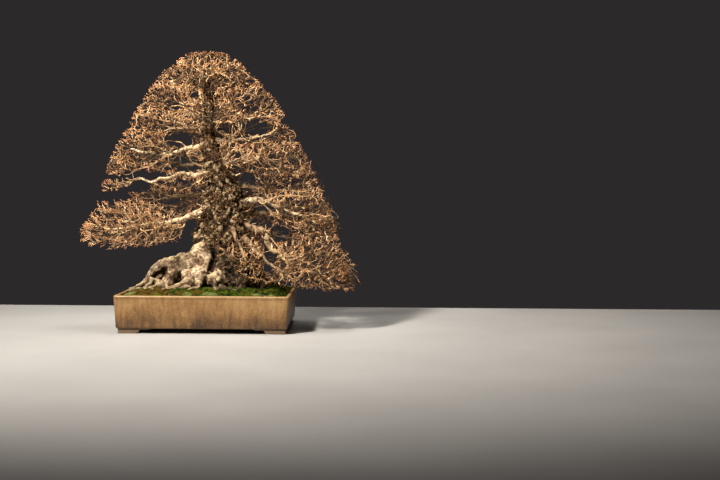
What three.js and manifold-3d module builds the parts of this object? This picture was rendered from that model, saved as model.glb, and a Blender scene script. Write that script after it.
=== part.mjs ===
// A hornbeam bonsai in winter, standing in its shallow rectangular pot.
// Units are millimetres and +Z is up. The front of the pot faces -Y, and the
// pot's feet stand on the plane z = 0.

import * as THREE from 'three';
import { mergeVertices } from 'three/addons/utils/BufferGeometryUtils.js';
import Module from 'manifold-3d';

const wasm = await Module();
wasm.setup();

// Pot
const POT_WIDTH = 426;
const POT_DEPTH = 320;
const RIM_HEIGHT = 92;
const FOOT_HEIGHT = 12;
const WALL = 10;
const FLOOR_THICKNESS = 9;
const TAPER = 5;
const CORNER_RADIUS = 6;
const EDGE_ROUNDING = 3;
const FOOT_LENGTH = 52;
const FOOT_THICKNESS = 14;
const FOOT_SET_IN = 5;
const APRON_LENGTH = 76;
const APRON_HEIGHT = 3;
const DRAIN_SPACING = 190;
const DRAIN_RADIUS = 14;

// Drainage screens
const SCREEN_SIDE = 44;
const SCREEN_THICKNESS = 1.6;
const SCREEN_OPENINGS = 3;
const SCREEN_BAR = 4;

// Soil and moss
const SOIL_EDGE = 84;
const SOIL_MOUND = 24;
const SOIL_GRID = 42;
const MOSS_THICKNESS = 9;

// Wood
const TWIG_RADIUS = 0.85;
const THICKENING = 0.4;
const TWIG_SPACE = 3.2;
const TWIG_AREA = 1690;
const TRUNK_SIDES = 12;
const TRUNK_STEPS = 20;

// The narrow space left between neighbouring pieces, and the least detail
const GAP = 0.35;
const FINENESS = 0.2;

// Numbers drawn from a seed, the same on every run.
function seeded(seed) {
  let state = seed >>> 0;
  return () => {
    state = (state + 0x6d2b79f5) >>> 0;
    let t = state;
    t = Math.imul(t ^ (t >>> 15), t | 1);
    t ^= t + Math.imul(t ^ (t >>> 7), t | 61);
    return ((t ^ (t >>> 14)) >>> 0) / 4294967296;
  };
}

function vector([x, y, z]) {
  return new THREE.Vector3(x, y, z);
}

// A closed geometry as a solid that can be joined and cut.
function solidOf(geometry) {
  const bare = geometry.clone();
  bare.deleteAttribute('normal');
  bare.deleteAttribute('uv');
  const merged = mergeVertices(bare, 1e-4);
  const vertProperties = new Float32Array(merged.attributes.position.array);
  const triVerts = new Uint32Array(merged.index.array);
  return new wasm.Manifold(new wasm.Mesh({ numProp: 3, vertProperties, triVerts }));
}

// The largest body of a solid: scraps and sealed hollows are left behind.
function wholeBody(solid) {
  const bodies = solid.decompose();
  bodies.sort((a, b) => b.volume() - a.volume());
  return bodies[0];
}

function joined(solids) {
  return wholeBody(wasm.Manifold.union(solids));
}

const tree = new THREE.Group();

function addPiece(name, solid, look) {
  const { vertProperties, triVerts } = solid.getMesh();
  const geometry = new THREE.BufferGeometry();
  geometry.setAttribute('position', new THREE.BufferAttribute(new Float32Array(vertProperties), 3));
  geometry.setIndex(new THREE.BufferAttribute(new Uint32Array(triVerts), 1));
  geometry.computeVertexNormals();
  const mesh = new THREE.Mesh(geometry, new THREE.MeshStandardMaterial({ metalness: 0, ...look }));
  mesh.name = name;
  tree.add(mesh);
}

// Pot

// A rectangle with rounded corners, centred on the origin.
function roundedRectangle(width, depth, radius) {
  const x = width / 2;
  const y = depth / 2;
  const outline = new THREE.Shape();
  outline.moveTo(-x + radius, -y);
  outline.lineTo(x - radius, -y);
  outline.absarc(x - radius, -y + radius, radius, -Math.PI / 2, 0);
  outline.absarc(x - radius, y - radius, radius, 0, Math.PI / 2);
  outline.absarc(-x + radius, y - radius, radius, Math.PI / 2, Math.PI);
  outline.absarc(-x + radius, -y + radius, radius, Math.PI, 1.5 * Math.PI);
  return outline;
}

// A block between two heights whose sides lean out towards the rim, smaller
// all round by an inset, with its upper and lower edges rounded.
function potBlock(inset, low, high, rounding) {
  const geometry = new THREE.ExtrudeGeometry(
    roundedRectangle(
      POT_WIDTH - 2 * (inset + rounding),
      POT_DEPTH - 2 * (inset + rounding),
      CORNER_RADIUS - 0.2 * inset,
    ),
    {
      depth: high - low - 2 * rounding,
      curveSegments: 4,
      bevelEnabled: rounding > 0,
      bevelThickness: rounding,
      bevelSize: rounding,
      bevelSegments: 1,
    },
  );
  geometry.translate(0, 0, low + rounding);
  const position = geometry.attributes.position;
  for (let i = 0; i < position.count; i += 1) {
    const narrowing = TAPER * (RIM_HEIGHT - position.getZ(i)) / (RIM_HEIGHT - FOOT_HEIGHT);
    position.setX(i, position.getX(i) * (1 - 2 * narrowing / POT_WIDTH));
    position.setY(i, position.getY(i) * (1 - 2 * narrowing / POT_DEPTH));
  }
  return solidOf(geometry);
}

// One arm of a bracket foot, seen from the front: a short foot with a sloped
// inner end, which runs on as a thin apron under the pot's floor.
function footArm(thickness) {
  const top = FOOT_HEIGHT + EDGE_ROUNDING;
  const outline = new THREE.Shape();
  outline.moveTo(0, 0);
  outline.lineTo(FOOT_LENGTH - 7, 0);
  outline.quadraticCurveTo(FOOT_LENGTH - 1, 3, FOOT_LENGTH, FOOT_HEIGHT - APRON_HEIGHT);
  outline.lineTo(APRON_LENGTH, FOOT_HEIGHT - APRON_HEIGHT);
  outline.lineTo(APRON_LENGTH + 3, top);
  outline.lineTo(0, top);
  const geometry = new THREE.ExtrudeGeometry(outline, {
    depth: thickness,
    curveSegments: 2,
    bevelEnabled: false,
  });
  return geometry.rotateX(Math.PI / 2).translate(0, thickness, 0);
}

// The four feet stand in from the body's lower edge, one arm along each side.
function potFeet() {
  const x = POT_WIDTH / 2 - TAPER - FOOT_SET_IN;
  const y = POT_DEPTH / 2 - TAPER - FOOT_SET_IN;
  const feet = [];
  for (const [turn, side, reach] of [[0, x, y], [1, y, x], [2, x, y], [3, y, x]]) {
    const near = solidOf(footArm(FOOT_THICKNESS).translate(-side, -reach, 0).rotateZ(turn * Math.PI / 2));
    const mirrored = footArm(FOOT_THICKNESS).rotateZ(Math.PI).translate(side, -reach + FOOT_THICKNESS, 0);
    feet.push(near, solidOf(mirrored.rotateZ(turn * Math.PI / 2)));
  }
  return feet;
}

function cylinderAt(x, y, radius, low, high, sides) {
  const geometry = new THREE.CylinderGeometry(radius, radius, high - low, sides);
  return solidOf(geometry.rotateX(Math.PI / 2).translate(x, y, (low + high) / 2));
}

function boxBetween(x0, x1, y0, y1, z0, z1) {
  const geometry = new THREE.BoxGeometry(x1 - x0, y1 - y0, z1 - z0);
  return solidOf(geometry.translate((x0 + x1) / 2, (y0 + y1) / 2, (z0 + z1) / 2));
}

const potFloor = FOOT_HEIGHT + FLOOR_THICKNESS;
const drains = [-DRAIN_SPACING / 2, DRAIN_SPACING / 2];
const cavity = potBlock(WALL, potFloor, RIM_HEIGHT + 40, 0);

let pot = joined([potBlock(0, FOOT_HEIGHT, RIM_HEIGHT, EDGE_ROUNDING), ...potFeet()]);
pot = pot.subtract(cavity);
for (const x of drains) {
  pot = pot.subtract(cylinderAt(x, 0, DRAIN_RADIUS, 0, potFloor + 5, 12));
}
addPiece('pot', pot, { color: 0xb08c58, roughness: 0.42 });

// A square plastic mesh lies over each drain hole.
function drainScreen(x) {
  const half = SCREEN_SIDE / 2;
  const low = potFloor + GAP;
  const high = low + SCREEN_THICKNESS;
  const pitch = (SCREEN_SIDE - SCREEN_BAR) / SCREEN_OPENINGS;
  let screen = boxBetween(x - half, x + half, -half, half, low, high);
  for (let i = 0; i < SCREEN_OPENINGS; i += 1) {
    for (let j = 0; j < SCREEN_OPENINGS; j += 1) {
      const left = x - half + SCREEN_BAR + i * pitch;
      const front = -half + SCREEN_BAR + j * pitch;
      const side = pitch - SCREEN_BAR;
      screen = screen.subtract(boxBetween(left, left + side, front, front + side, low - 1, high + 1));
    }
  }
  return screen;
}
addPiece('drain_screen_left', drainScreen(drains[0]), { color: 0x26282a, roughness: 0.6 });
addPiece('drain_screen_right', drainScreen(drains[1]), { color: 0x26282a, roughness: 0.6 });

// Wood

// Directions along a path that turn with it as little as they can.
function framesAlong(points) {
  const frames = [];
  let across = new THREE.Vector3();
  points.forEach((point, i) => {
    const ahead = points[Math.min(i + 1, points.length - 1)];
    const behind = points[Math.max(i - 1, 0)];
    const along = ahead.clone().sub(behind).normalize();
    if (i === 0) {
      const aside = Math.abs(along.z) < 0.9 ? new THREE.Vector3(0, 0, 1) : new THREE.Vector3(1, 0, 0);
      across = aside.cross(along).normalize();
    } else {
      across = across.clone().addScaledVector(along, -across.dot(along)).normalize();
    }
    frames.push({ point, along, across, other: across.clone().cross(along) });
  });
  return frames;
}

// A rod bent along a path: one ring of a unit cylinder on each point of the
// path, or a cone if it ends in a tip. swell(angle, i) shapes each ring.
function bentRod(points, radii, sides, { pointed = false, swell = () => 1 } = {}) {
  const steps = points.length - 1;
  const frames = framesAlong(points);
  const geometry = new THREE.CylinderGeometry(pointed ? 0 : 1, 1, 1, sides, steps);
  const position = geometry.attributes.position;
  const place = new THREE.Vector3();
  for (let i = 0; i < position.count; i += 1) {
    const ring = Math.round((position.getY(i) + 0.5) * steps);
    const angle = Math.atan2(position.getX(i), position.getZ(i));
    const onAxis = Math.hypot(position.getX(i), position.getZ(i)) < 1e-6;
    const radius = onAxis ? 0 : radii[ring] * swell(angle, ring);
    const { point, across, other } = frames[ring];
    place.copy(point);
    place.addScaledVector(across, radius * Math.sin(angle));
    place.addScaledVector(other, radius * Math.cos(angle));
    position.setXYZ(i, place.x, place.y, place.z);
  }
  return solidOf(geometry);
}

// Points and radii at even steps along a smooth curve through given stations,
// each an x, y, z and radius.
function alongStations(stations, steps, grow = 0) {
  const curve = new THREE.CatmullRomCurve3(stations.map(vector));
  const points = [];
  const radii = [];
  for (let i = 0; i <= steps; i += 1) {
    const t = i / steps;
    const place = t * (stations.length - 1);
    const before = Math.min(Math.floor(place), stations.length - 2);
    const mix = place - before;
    points.push(curve.getPoint(t));
    radii.push((1 - mix) * stations[before][3] + mix * stations[before + 1][3] + grow);
  }
  return { points, radii };
}

// The trunk leans in from its wide base and then rises straight.
const TRUNK = [
  [54, -2, 72, 80],
  [54, -2, 108, 76],
  [50, 0, 165, 64],
  [41, 0, 238, 61],
  [38, 0, 290, 55],
  [39, 0, 338, 44],
  [30, 2, 376, 33],
  [12, 3, 408, 26],
  [3, 2, 444, 22],
  [-1, 0, 484, 18],
  [-4, -2, 524, 14],
  [-2, 0, 564, 12],
  [-6, 2, 604, 10],
  [-10, 1, 644, 7],
  [-8, 0, 688, 3],
];

// Surface roots, each from inside the trunk down into the soil. The first is
// the great pale root on the left, which arches over a hollow on two legs.
const ROOTS = [
  [[40, -14, 205, 48], [0, -26, 180, 42], [-35, -36, 165, 37], [-66, -42, 158, 30],
    [-90, -45, 158, 22], [-108, -48, 161, 16], [-123, -51, 155, 11], [-134, -53, 145, 9],
    [-143, -55, 133, 8], [-153, -57, 117, 8.5], [-164, -60, 90, 8]],
  [[-62, -44, 158, 24], [-80, -54, 142, 19], [-92, -60, 126, 15], [-98, -66, 108, 14], [-102, -72, 84, 12]],
  [[-5, -40, 160, 36], [-16, -66, 140, 27], [-30, -80, 122, 20], [-52, -88, 111, 14],
    [-80, -94, 105, 9], [-112, -96, 90, 6]],
  [[-146, -54, 118, 8], [-158, -48, 110, 7], [-172, -46, 105, 6], [-188, -44, 88, 4]],
  [[44, -40, 165, 36], [42, -64, 136, 28], [34, -82, 112, 20], [26, -96, 86, 14]],
  [[78, -36, 170, 26], [104, -48, 158, 16], [122, -58, 146, 10], [134, -64, 126, 8], [146, -70, 106, 7],
    [156, -74, 86, 6]],
  [[72, -44, 160, 28], [82, -70, 132, 20], [88, -88, 108, 14], [92, -102, 84, 10]],
  [[76, 26, 170, 34], [108, 54, 136, 20], [136, 76, 114, 12], [164, 94, 82, 8]],
  [[30, 36, 175, 36], [10, 74, 140, 21], [-12, 100, 114, 12], [-34, 122, 80, 8]],
  [[10, 22, 178, 34], [-42, 48, 146, 22], [-80, 68, 120, 14], [-114, 84, 84, 9]],
];

// Knobs and burls at the foot of the trunk: centre and radius.
const BURLS = [
  [28, -86, 124, 23],
  [-6, -70, 146, 22],
  [-44, -70, 136, 20],
  [62, -76, 126, 20],
  [-18, -8, 228, 27],
  [-8, -10, 262, 22],
];

// Smaller knobs are scattered round the trunk. Each sits on one of its rings,
// and its radius is a share of the trunk's there.
const KNOBS = 15;
const KNOB_SHARE = 0.34;
const FIRST_KNOBBED_RING = 4;
const KNOBBED_RINGS = 11;

function trunkKnobs(spine, girths) {
  const random = seeded(7);
  return Array.from({ length: KNOBS }, () => {
    const ring = FIRST_KNOBBED_RING + Math.floor(KNOBBED_RINGS * random());
    const angle = 2 * Math.PI * random();
    const radius = KNOB_SHARE * girths[ring] * (0.7 + 0.6 * random());
    const { x, y, z } = spine[ring];
    const out = 0.86 * girths[ring];
    return [x + out * Math.cos(angle), y + out * Math.sin(angle), z, radius];
  });
}

// Flutes run up the trunk, deep at its foot and shallow above.
function trunkSwell(angle, ring, rings) {
  const height = ring / rings;
  const depth = 0.05 + 0.13 * (1 - height) ** 3;
  const lean = 1.6 * height;
  return 1 + depth * (Math.cos(3 * angle + lean) + 0.6 * Math.cos(5 * angle - 2 * lean + 1)
    + 0.35 * Math.cos(8 * angle + 4 * lean));
}

function trunkAndRoots(grow) {
  const { points: spine, radii: girths } = alongStations(TRUNK, TRUNK_STEPS, grow);
  const solids = [bentRod(spine, girths, TRUNK_SIDES, {
    swell: (angle, ring) => trunkSwell(angle, ring, TRUNK_STEPS),
  })];
  ROOTS.forEach((root, k) => {
    const steps = Math.round(1.25 * (root.length - 1));
    const { points, radii } = alongStations(root, steps, grow);
    solids.push(bentRod(points, radii, 6, {
      swell: (angle, ring) => 1 + 0.1 * Math.sin(2 * angle + 1.7 * ring + k) + 0.06 * Math.sin(4.1 * ring),
    }));
  });
  for (const [x, y, z, radius] of BURLS) {
    const burl = new THREE.IcosahedronGeometry(radius + grow, 1);
    solids.push(solidOf(burl.scale(1.05, 1, 0.92).translate(x, y, z)));
  }
  for (const [x, y, z, radius] of trunkKnobs(spine, girths)) {
    const knob = new THREE.IcosahedronGeometry(radius + grow, 0);
    solids.push(solidOf(knob.scale(1, 1, 1.3).translate(x, y, z)));
  }
  return joined(solids);
}

const trunk = trunkAndRoots(0).simplify(FINENESS);
const trunkSpace = trunkAndRoots(GAP + 0.15);
addPiece('trunk', trunk, { color: 0xb9a88c, roughness: 0.85 });

// Soil and moss

// The soil's surface stands lowest along the walls and mounds up to the tree.
function soilHeight(x, y) {
  const acrossPot = 1 - Math.min(1, Math.abs(x) / 205) ** 4;
  const fromFront = 1 - Math.min(1, Math.abs(y) / 152) ** 3;
  return SOIL_EDGE + SOIL_MOUND * acrossPot * fromFront;
}

function soilBlock(raised) {
  const cellsX = Math.round(POT_WIDTH / SOIL_GRID);
  const cellsY = Math.round(POT_DEPTH / SOIL_GRID);
  const geometry = new THREE.BoxGeometry(cellsX * SOIL_GRID, cellsY * SOIL_GRID, 2, cellsX, cellsY, 1);
  const position = geometry.attributes.position;
  for (let i = 0; i < position.count; i += 1) {
    const isTop = position.getZ(i) > 0;
    const height = soilHeight(position.getX(i), position.getY(i)) + raised;
    position.setZ(i, isTop ? height : potFloor - 5);
  }
  return solidOf(geometry);
}

const insideOfPot = potBlock(WALL + GAP, potFloor + GAP, RIM_HEIGHT + 40, 0);
let soil = soilBlock(0).intersect(insideOfPot).subtract(trunkSpace);
for (const x of drains) {
  const half = SCREEN_SIDE / 2 + GAP;
  const top = potFloor + 2 * GAP + SCREEN_THICKNESS;
  soil = soil.subtract(boxBetween(x - half, x + half, -half, half, potFloor - 1, top));
}
addPiece('soil', wholeBody(soil.simplify(FINENESS)), { color: 0x4a3826, roughness: 0.95 });

// Moss cushions, each a low uneven dome: place, half lengths and colour.
const MOSS = [
  { name: 'moss_front_left', at: [-138, -112], half: [62, 36], color: 0x6b5a22 },
  { name: 'moss_front_middle', at: [-22, -118], half: [62, 30], color: 0x4f7d1c },
  { name: 'moss_front_right', at: [92, -116], half: [66, 32], color: 0x3f7a10 },
  { name: 'moss_right_corner', at: [172, -78], half: [30, 66], color: 0x4a7a18 },
  { name: 'moss_right_back', at: [158, 70], half: [44, 76], color: 0x3c6c12 },
  { name: 'moss_back_middle', at: [42, 118], half: [78, 32], color: 0x466f1a },
  { name: 'moss_back_left', at: [-92, 112], half: [66, 38], color: 0x4f7420 },
  { name: 'moss_left', at: [-164, 10], half: [40, 78], color: 0x5d6c22 },
  { name: 'moss_under_root', at: [-74, -12], half: [46, 40], color: 0x3a6a10 },
];

function mossDome({ at, half }, grow, random) {
  const geometry = new THREE.SphereGeometry(1, 9, 6);
  const phases = [random(), random(), random()].map(draw => 2 * Math.PI * draw);
  const position = geometry.attributes.position;
  for (let i = 0; i < position.count; i += 1) {
    const angle = Math.atan2(position.getZ(i), position.getX(i));
    const wave = 0.09 * Math.cos(2 * angle + phases[0]) + 0.08 * Math.cos(3 * angle + phases[1])
      + 0.05 * Math.cos(5 * angle + phases[2]);
    const x = at[0] + position.getX(i) * (half[0] * (1 + wave) + grow);
    const y = at[1] - position.getZ(i) * (half[1] * (1 + wave) + grow);
    const rise = Math.sign(position.getY(i)) * Math.abs(position.getY(i)) ** 0.6;
    position.setXYZ(i, x, y, soilHeight(x, y) + (MOSS_THICKNESS + grow) * rise);
  }
  return solidOf(geometry);
}

const soilSpace = soilBlock(GAP);
const taken = [soilSpace, trunkSpace];
MOSS.forEach((patch, k) => {
  const dome = mossDome(patch, 0, seeded(40 + k)).intersect(insideOfPot);
  const cushion = dome.subtract(wasm.Manifold.union(taken)).simplify(FINENESS);
  addPiece(patch.name, wholeBody(cushion), { color: patch.color, roughness: 0.95 });
  taken.push(mossDome(patch, 2 * GAP, seeded(40 + k)));
});

// Sprays

// Each main branch: its wood as stations (x, y, z, radius) from inside the
// trunk outwards, and the cushions of twigs that it carries, each given by its
// centre, its half lengths, and its heights above and below the centre.
const BRANCHES = [
  {
    name: 'spray_left_low',
    wood: [[30, -8, 316, 11], [4, -22, 306, 9.5], [-22, -34, 293, 8.5], [-52, -40, 281, 7.5],
      [-100, -42, 264, 6], [-150, -38, 256, 4.5], [-205, -32, 250, 3], [-250, -28, 246, 2]],
    pads: [[-206, -30, 246, 146, 92, 72, 46], [-75, -55, 246, 20, 18, 16, 22],
      [-150, -112, 244, 74, 52, 44, 32]],
  },
  {
    name: 'spray_left_low_back',
    wood: [[30, 30, 345, 9], [2, 52, 338, 7], [-50, 72, 334, 5.5], [-100, 88, 326, 4], [-150, 98, 318, 2.5]],
    pads: [[-135, 100, 318, 104, 74, 38, 34]],
  },
  {
    name: 'spray_left_bare',
    wood: [[10, -14, 392, 7], [-12, -22, 391, 6], [-42, -28, 384, 5], [-68, -30, 391, 4.2],
      [-93, -30, 381, 3.4], [-144, -28, 367, 2.8], [-175, -27, 374, 2.4], [-201, -26, 364, 2],
      [-225, -25, 352, 1.5], [-246, -24, 346, 1.2]],
    pads: [[-245, -24, 353, 34, 26, 14, 12], [-72, -28, 366, 70, 36, 22, 24]],
  },
  {
    name: 'spray_left_middle',
    wood: [[0, -6, 462, 8], [-20, -16, 458, 7], [-43, -22, 448, 6.3], [-63, -24, 441, 5.6],
      [-104, -26, 439, 4.6], [-150, -26, 441, 3.2], [-195, -24, 446, 2.2]],
    pads: [[-170, -24, 440, 108, 74, 60, 48], [-226, -24, 406, 60, 50, 34, 24]],
  },
  {
    name: 'spray_left_middle_back',
    wood: [[4, 10, 412, 7], [-24, 34, 412, 5.5], [-70, 62, 414, 4.2], [-118, 84, 420, 2.8]],
    pads: [[-120, 88, 428, 95, 64, 46, 36]],
  },
  {
    name: 'spray_left_upper',
    wood: [[-3, -6, 502, 6], [-24, -14, 503, 5], [-69, -20, 501, 4], [-105, -22, 494, 3], [-156, -22, 493, 2]],
    pads: [[-142, -24, 508, 94, 66, 38, 26]],
  },
  {
    name: 'spray_left_high',
    wood: [[-3, -2, 528, 5.5], [-20, -4, 530, 4.6], [-67, -6, 540, 3.6], [-110, -8, 556, 2.5]],
    pads: [[-106, -6, 566, 106, 72, 48, 44]],
  },
  {
    name: 'spray_right_low',
    wood: [[70, -16, 268, 13], [100, -26, 256, 10.5], [128, -32, 249, 9], [150, -35, 238, 8],
      [155, -37, 206, 7], [194, -40, 177, 5.5], [236, -42, 152, 4], [280, -42, 140, 2.5]],
    pads: [[266, -40, 144, 144, 96, 86, 38], [322, -40, 124, 100, 66, 36, 26]],
  },
  {
    name: 'spray_right_low_front',
    wood: [[86, -34, 234, 7.5], [104, -62, 218, 6], [130, -90, 194, 4.6], [160, -112, 168, 3.4],
      [190, -124, 150, 2.4]],
    pads: [[168, -118, 158, 80, 48, 48, 40]],
  },
  {
    name: 'spray_right_low_back',
    wood: [[72, 24, 255, 9], [98, 52, 250, 7], [140, 86, 238, 5], [185, 108, 222, 3.4], [225, 118, 210, 2.2]],
    pads: [[200, 112, 206, 106, 64, 50, 52]],
  },
  {
    name: 'spray_right_lower_middle',
    wood: [[84, 20, 292, 9], [112, 34, 290, 7.5], [160, 56, 287, 5.5], [210, 70, 282, 3.8], [250, 76, 278, 2.5]],
    pads: [[240, 66, 268, 114, 76, 48, 46]],
  },
  {
    name: 'spray_right_middle',
    wood: [[66, -14, 316, 10], [92, -24, 318, 8.5], [142, -27, 322, 7], [173, -28, 308, 5], [219, -30, 293, 3.2]],
    pads: [[240, -34, 304, 104, 78, 50, 46], [286, -30, 254, 76, 60, 36, 34]],
  },
  {
    name: 'spray_right_middle_back',
    wood: [[60, 12, 352, 8], [90, 24, 353, 6.5], [131, 36, 353, 5], [192, 44, 351, 3.5], [225, 46, 350, 2.4]],
    pads: [[214, 40, 364, 106, 78, 48, 40]],
  },
  {
    name: 'spray_right_upper',
    wood: [[18, -8, 410, 8], [40, -18, 413, 6.6], [75, -24, 416, 5.4], [120, -26, 424, 4], [180, -26, 416, 2.6]],
    pads: [[182, -28, 416, 110, 80, 54, 38]],
  },
  {
    name: 'spray_right_high',
    wood: [[2, -4, 472, 7], [24, -8, 472, 5.8], [74, -12, 473, 4.6], [120, -12, 482, 3.2], [160, -12, 490, 2.2]],
    pads: [[140, -12, 488, 106, 78, 54, 42]],
  },
  {
    name: 'spray_right_top',
    wood: [[-3, 0, 520, 6], [16, 0, 524, 5], [53, 0, 538, 4], [80, 0, 532, 3.2], [120, 0, 536, 2.2]],
    pads: [[104, -2, 556, 100, 72, 54, 44]],
  },
  {
    name: 'spray_front_hanging',
    wood: [[58, -34, 248, 6], [64, -60, 242, 5], [74, -82, 230, 4], [86, -98, 210, 3], [96, -106, 188, 2]],
    pads: [[78, -104, 192, 58, 30, 36, 42]],
  },
  {
    name: 'spray_front_middle',
    wood: [[22, -12, 398, 5], [26, -34, 404, 4], [34, -62, 412, 3], [44, -86, 420, 2]],
    pads: [[52, -98, 424, 66, 42, 40, 24]],
  },
  {
    name: 'spray_front_high',
    wood: [[-2, -6, 492, 5], [2, -24, 500, 4], [8, -52, 512, 3], [12, -80, 522, 2]],
    pads: [[8, -84, 536, 76, 44, 46, 30]],
  },
  {
    name: 'spray_front_top',
    wood: [[-4, -2, 580, 4], [-4, -18, 590, 3.2], [-4, -42, 604, 2.4], [-4, -60, 614, 1.8]],
    pads: [[-8, -58, 618, 84, 44, 46, 40]],
  },
  {
    name: 'spray_back_low',
    wood: [[44, 20, 300, 10], [40, 52, 302, 8], [30, 92, 300, 6], [16, 136, 296, 4.4], [4, 176, 292, 2.8]],
    pads: [[14, 168, 300, 128, 68, 50, 44]],
  },
  {
    name: 'spray_back_middle',
    wood: [[24, 12, 384, 7], [20, 34, 388, 5.6], [12, 72, 396, 4.2], [4, 112, 402, 2.8]],
    pads: [[8, 112, 408, 114, 64, 48, 40]],
  },
  {
    name: 'spray_back_high',
    wood: [[-2, 6, 486, 5.4], [-2, 24, 492, 4.4], [-4, 56, 502, 3.2], [-6, 84, 512, 2]],
    pads: [[-2, 84, 512, 110, 58, 50, 42]],
  },
  {
    name: 'spray_back_top',
    wood: [[-4, 4, 572, 4], [-4, 18, 580, 3.2], [-6, 40, 594, 2.4], [-8, 62, 606, 1.8]],
    pads: [[-6, 60, 606, 90, 50, 46, 40]],
  },
  {
    name: 'spray_top_left',
    wood: [[-7, 0, 618, 3.6], [-22, -2, 626, 3], [-50, -2, 636, 2.4], [-80, -2, 646, 1.6]],
    pads: [[-70, -2, 632, 84, 64, 44, 42]],
  },
  {
    name: 'spray_top_right',
    wood: [[-9, 0, 632, 3.4], [8, 0, 638, 2.8], [34, -2, 644, 2.2], [62, -2, 650, 1.5]],
    pads: [[52, -2, 626, 86, 66, 52, 42]],
  },
  {
    name: 'spray_apex',
    wood: [[-9, 0, 652, 3], [-6, -9, 662, 2.4], [-8, -14, 680, 1.6]],
    pads: [[-8, 4, 674, 90, 62, 34, 32]],
  },
];

// The whole crown's outline, from below upwards: height, and reach to the left
// and right. Seen from above it is an ellipse about CROWN_MIDDLE.
const CROWN = [
  [70, -331, 397],
  [116, -331, 395],
  [165, -331, 384],
  [201, -331, 363],
  [241, -331, 338],
  [264, -316, 331],
  [303, -288, 320],
  [345, -277, 306],
  [396, -262, 274],
  [455, -241, 240],
  [488, -221, 218],
  [525, -201, 198],
  [561, -182, 176],
  [605, -152, 142],
  [649, -120, 97],
  [676, -84, 70],
  [701, -42, 30],
  [712, -20, 8],
];
const CROWN_MIDDLE = 18;
const CROWN_DEPTH = 0.5;
const CROWN_LEAST_DEPTH = 24;

// The value of one column of the outline at a height.
function crownReach(z, column) {
  const next = CROWN.findIndex(([height]) => height > z);
  const above = next < 0 ? CROWN.length - 1 : Math.max(next, 1);
  const [low, high] = [CROWN[above - 1], CROWN[above]];
  const mix = THREE.MathUtils.clamp((z - low[0]) / (high[0] - low[0]), 0, 1);
  return (1 - mix) * low[column] + mix * high[column];
}

// A point outside the crown is drawn in, level, until it lies on the outline.
function drawnIn(point) {
  const left = crownReach(point.z, 1);
  const right = crownReach(point.z, 2);
  const halfWidth = (right - left) / 2;
  const fromMiddle = point.x - (left + right) / 2;
  const fromAxis = point.y - CROWN_MIDDLE;
  const halfDepth = CROWN_DEPTH * halfWidth + CROWN_LEAST_DEPTH;
  const out = Math.max(1, Math.hypot(fromMiddle / halfWidth, fromAxis / halfDepth));
  return point.set((left + right) / 2 + fromMiddle / out, CROWN_MIDDLE + fromAxis / out, point.z);
}

// How far out a point lies in a cushion: 1 on its surface, less inside.
function depthInPad([x, y, z, halfX, halfY, up, down], point) {
  const rise = point.z - z;
  return Math.hypot((point.x - x) / halfX, (point.y - y) / halfY, rise / (rise > 0 ? up : down));
}

// A point of a cushion, more often near its surface than inside, and more
// often in its upper half than in its lower one.
function drawPoint([x, y, z, halfX, halfY, up, down], random) {
  let rise = 2 * random() - 1;
  if (rise < 0 && random() < 0.45) rise = -rise;
  const around = 2 * Math.PI * random();
  const out = 1 - 0.55 * random() ** 2;
  const flat = Math.sqrt(1 - rise * rise) * out;
  return new THREE.Vector3(
    x + halfX * flat * Math.cos(around),
    y + halfY * flat * Math.sin(around),
    z + (rise > 0 ? up : down) * rise * out,
  );
}

// The nearest that two straight pieces of wood come to each other.
function distanceBetween(a, b, c, d) {
  const first = b.clone().sub(a);
  const second = d.clone().sub(c);
  const offset = a.clone().sub(c);
  const ff = first.lengthSq();
  const ss = second.lengthSq();
  const fs = first.dot(second);
  const fo = first.dot(offset);
  const so = second.dot(offset);
  const spread = ff * ss - fs * fs;
  let t = spread > 1e-9 ? THREE.MathUtils.clamp((fs * so - fo * ss) / spread, 0, 1) : 0;
  let u = (fs * t + so) / ss;
  if (u < 0 || u > 1) {
    u = THREE.MathUtils.clamp(u, 0, 1);
    t = THREE.MathUtils.clamp((fs * u - fo) / ff, 0, 1);
  }
  return offset.addScaledVector(first, t).addScaledVector(second, -u).length();
}

// Wood that stands already: straight pieces, each with its owner's name.
const standing = [];

function register(points, radii, owner) {
  for (let i = 1; i < points.length; i += 1) {
    standing.push({ from: points[i - 1], to: points[i], radius: Math.max(radii[i - 1], radii[i]), owner });
  }
}

function isClear(from, to, owner) {
  return standing.every(piece => piece.owner === owner
    || distanceBetween(from, to, piece.from, piece.to) > piece.radius + TWIG_SPACE);
}

function isAboveGround({ x, y, z }) {
  const overPot = Math.abs(x) < POT_WIDTH / 2 + 8 && Math.abs(y) < POT_DEPTH / 2 + 8;
  return z > (overPot ? Math.max(RIM_HEIGHT, soilHeight(x, y) + MOSS_THICKNESS) + 5 : RIM_HEIGHT + 10);
}

// Evenly spread points for the twigs of a branch to reach: of eight draws the
// one farthest from the rest is kept. Each place belongs to one branch alone.
function pointsToReach(branch, random) {
  const points = [];
  for (const pad of branch.pads) {
    const [, , , halfX, halfY, up, down] = pad;
    const area = Math.PI * (halfX * halfY + 0.5 * (halfX + halfY) * (up + down));
    const wanted = Math.max(6, Math.round(area / TWIG_AREA));
    for (let n = 0; n < wanted; n += 1) {
      let best = null;
      let farthest = -1;
      for (let draw = 0; draw < 8; draw += 1) {
        const point = drawnIn(drawPoint(pad, random));
        const depth = depthInPad(pad, point);
        const isOwn = BRANCHES.every(other => other === branch
          || other.pads.every(otherPad => depthInPad(otherPad, point) > depth - 0.12));
        const nearest = Math.min(Infinity, ...points.map(other => other.distanceTo(point)));
        if (isOwn && isAboveGround(point) && nearest > farthest) {
          best = point;
          farthest = nearest;
        }
      }
      if (best) points.push(best);
    }
  }
  return points;
}

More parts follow.
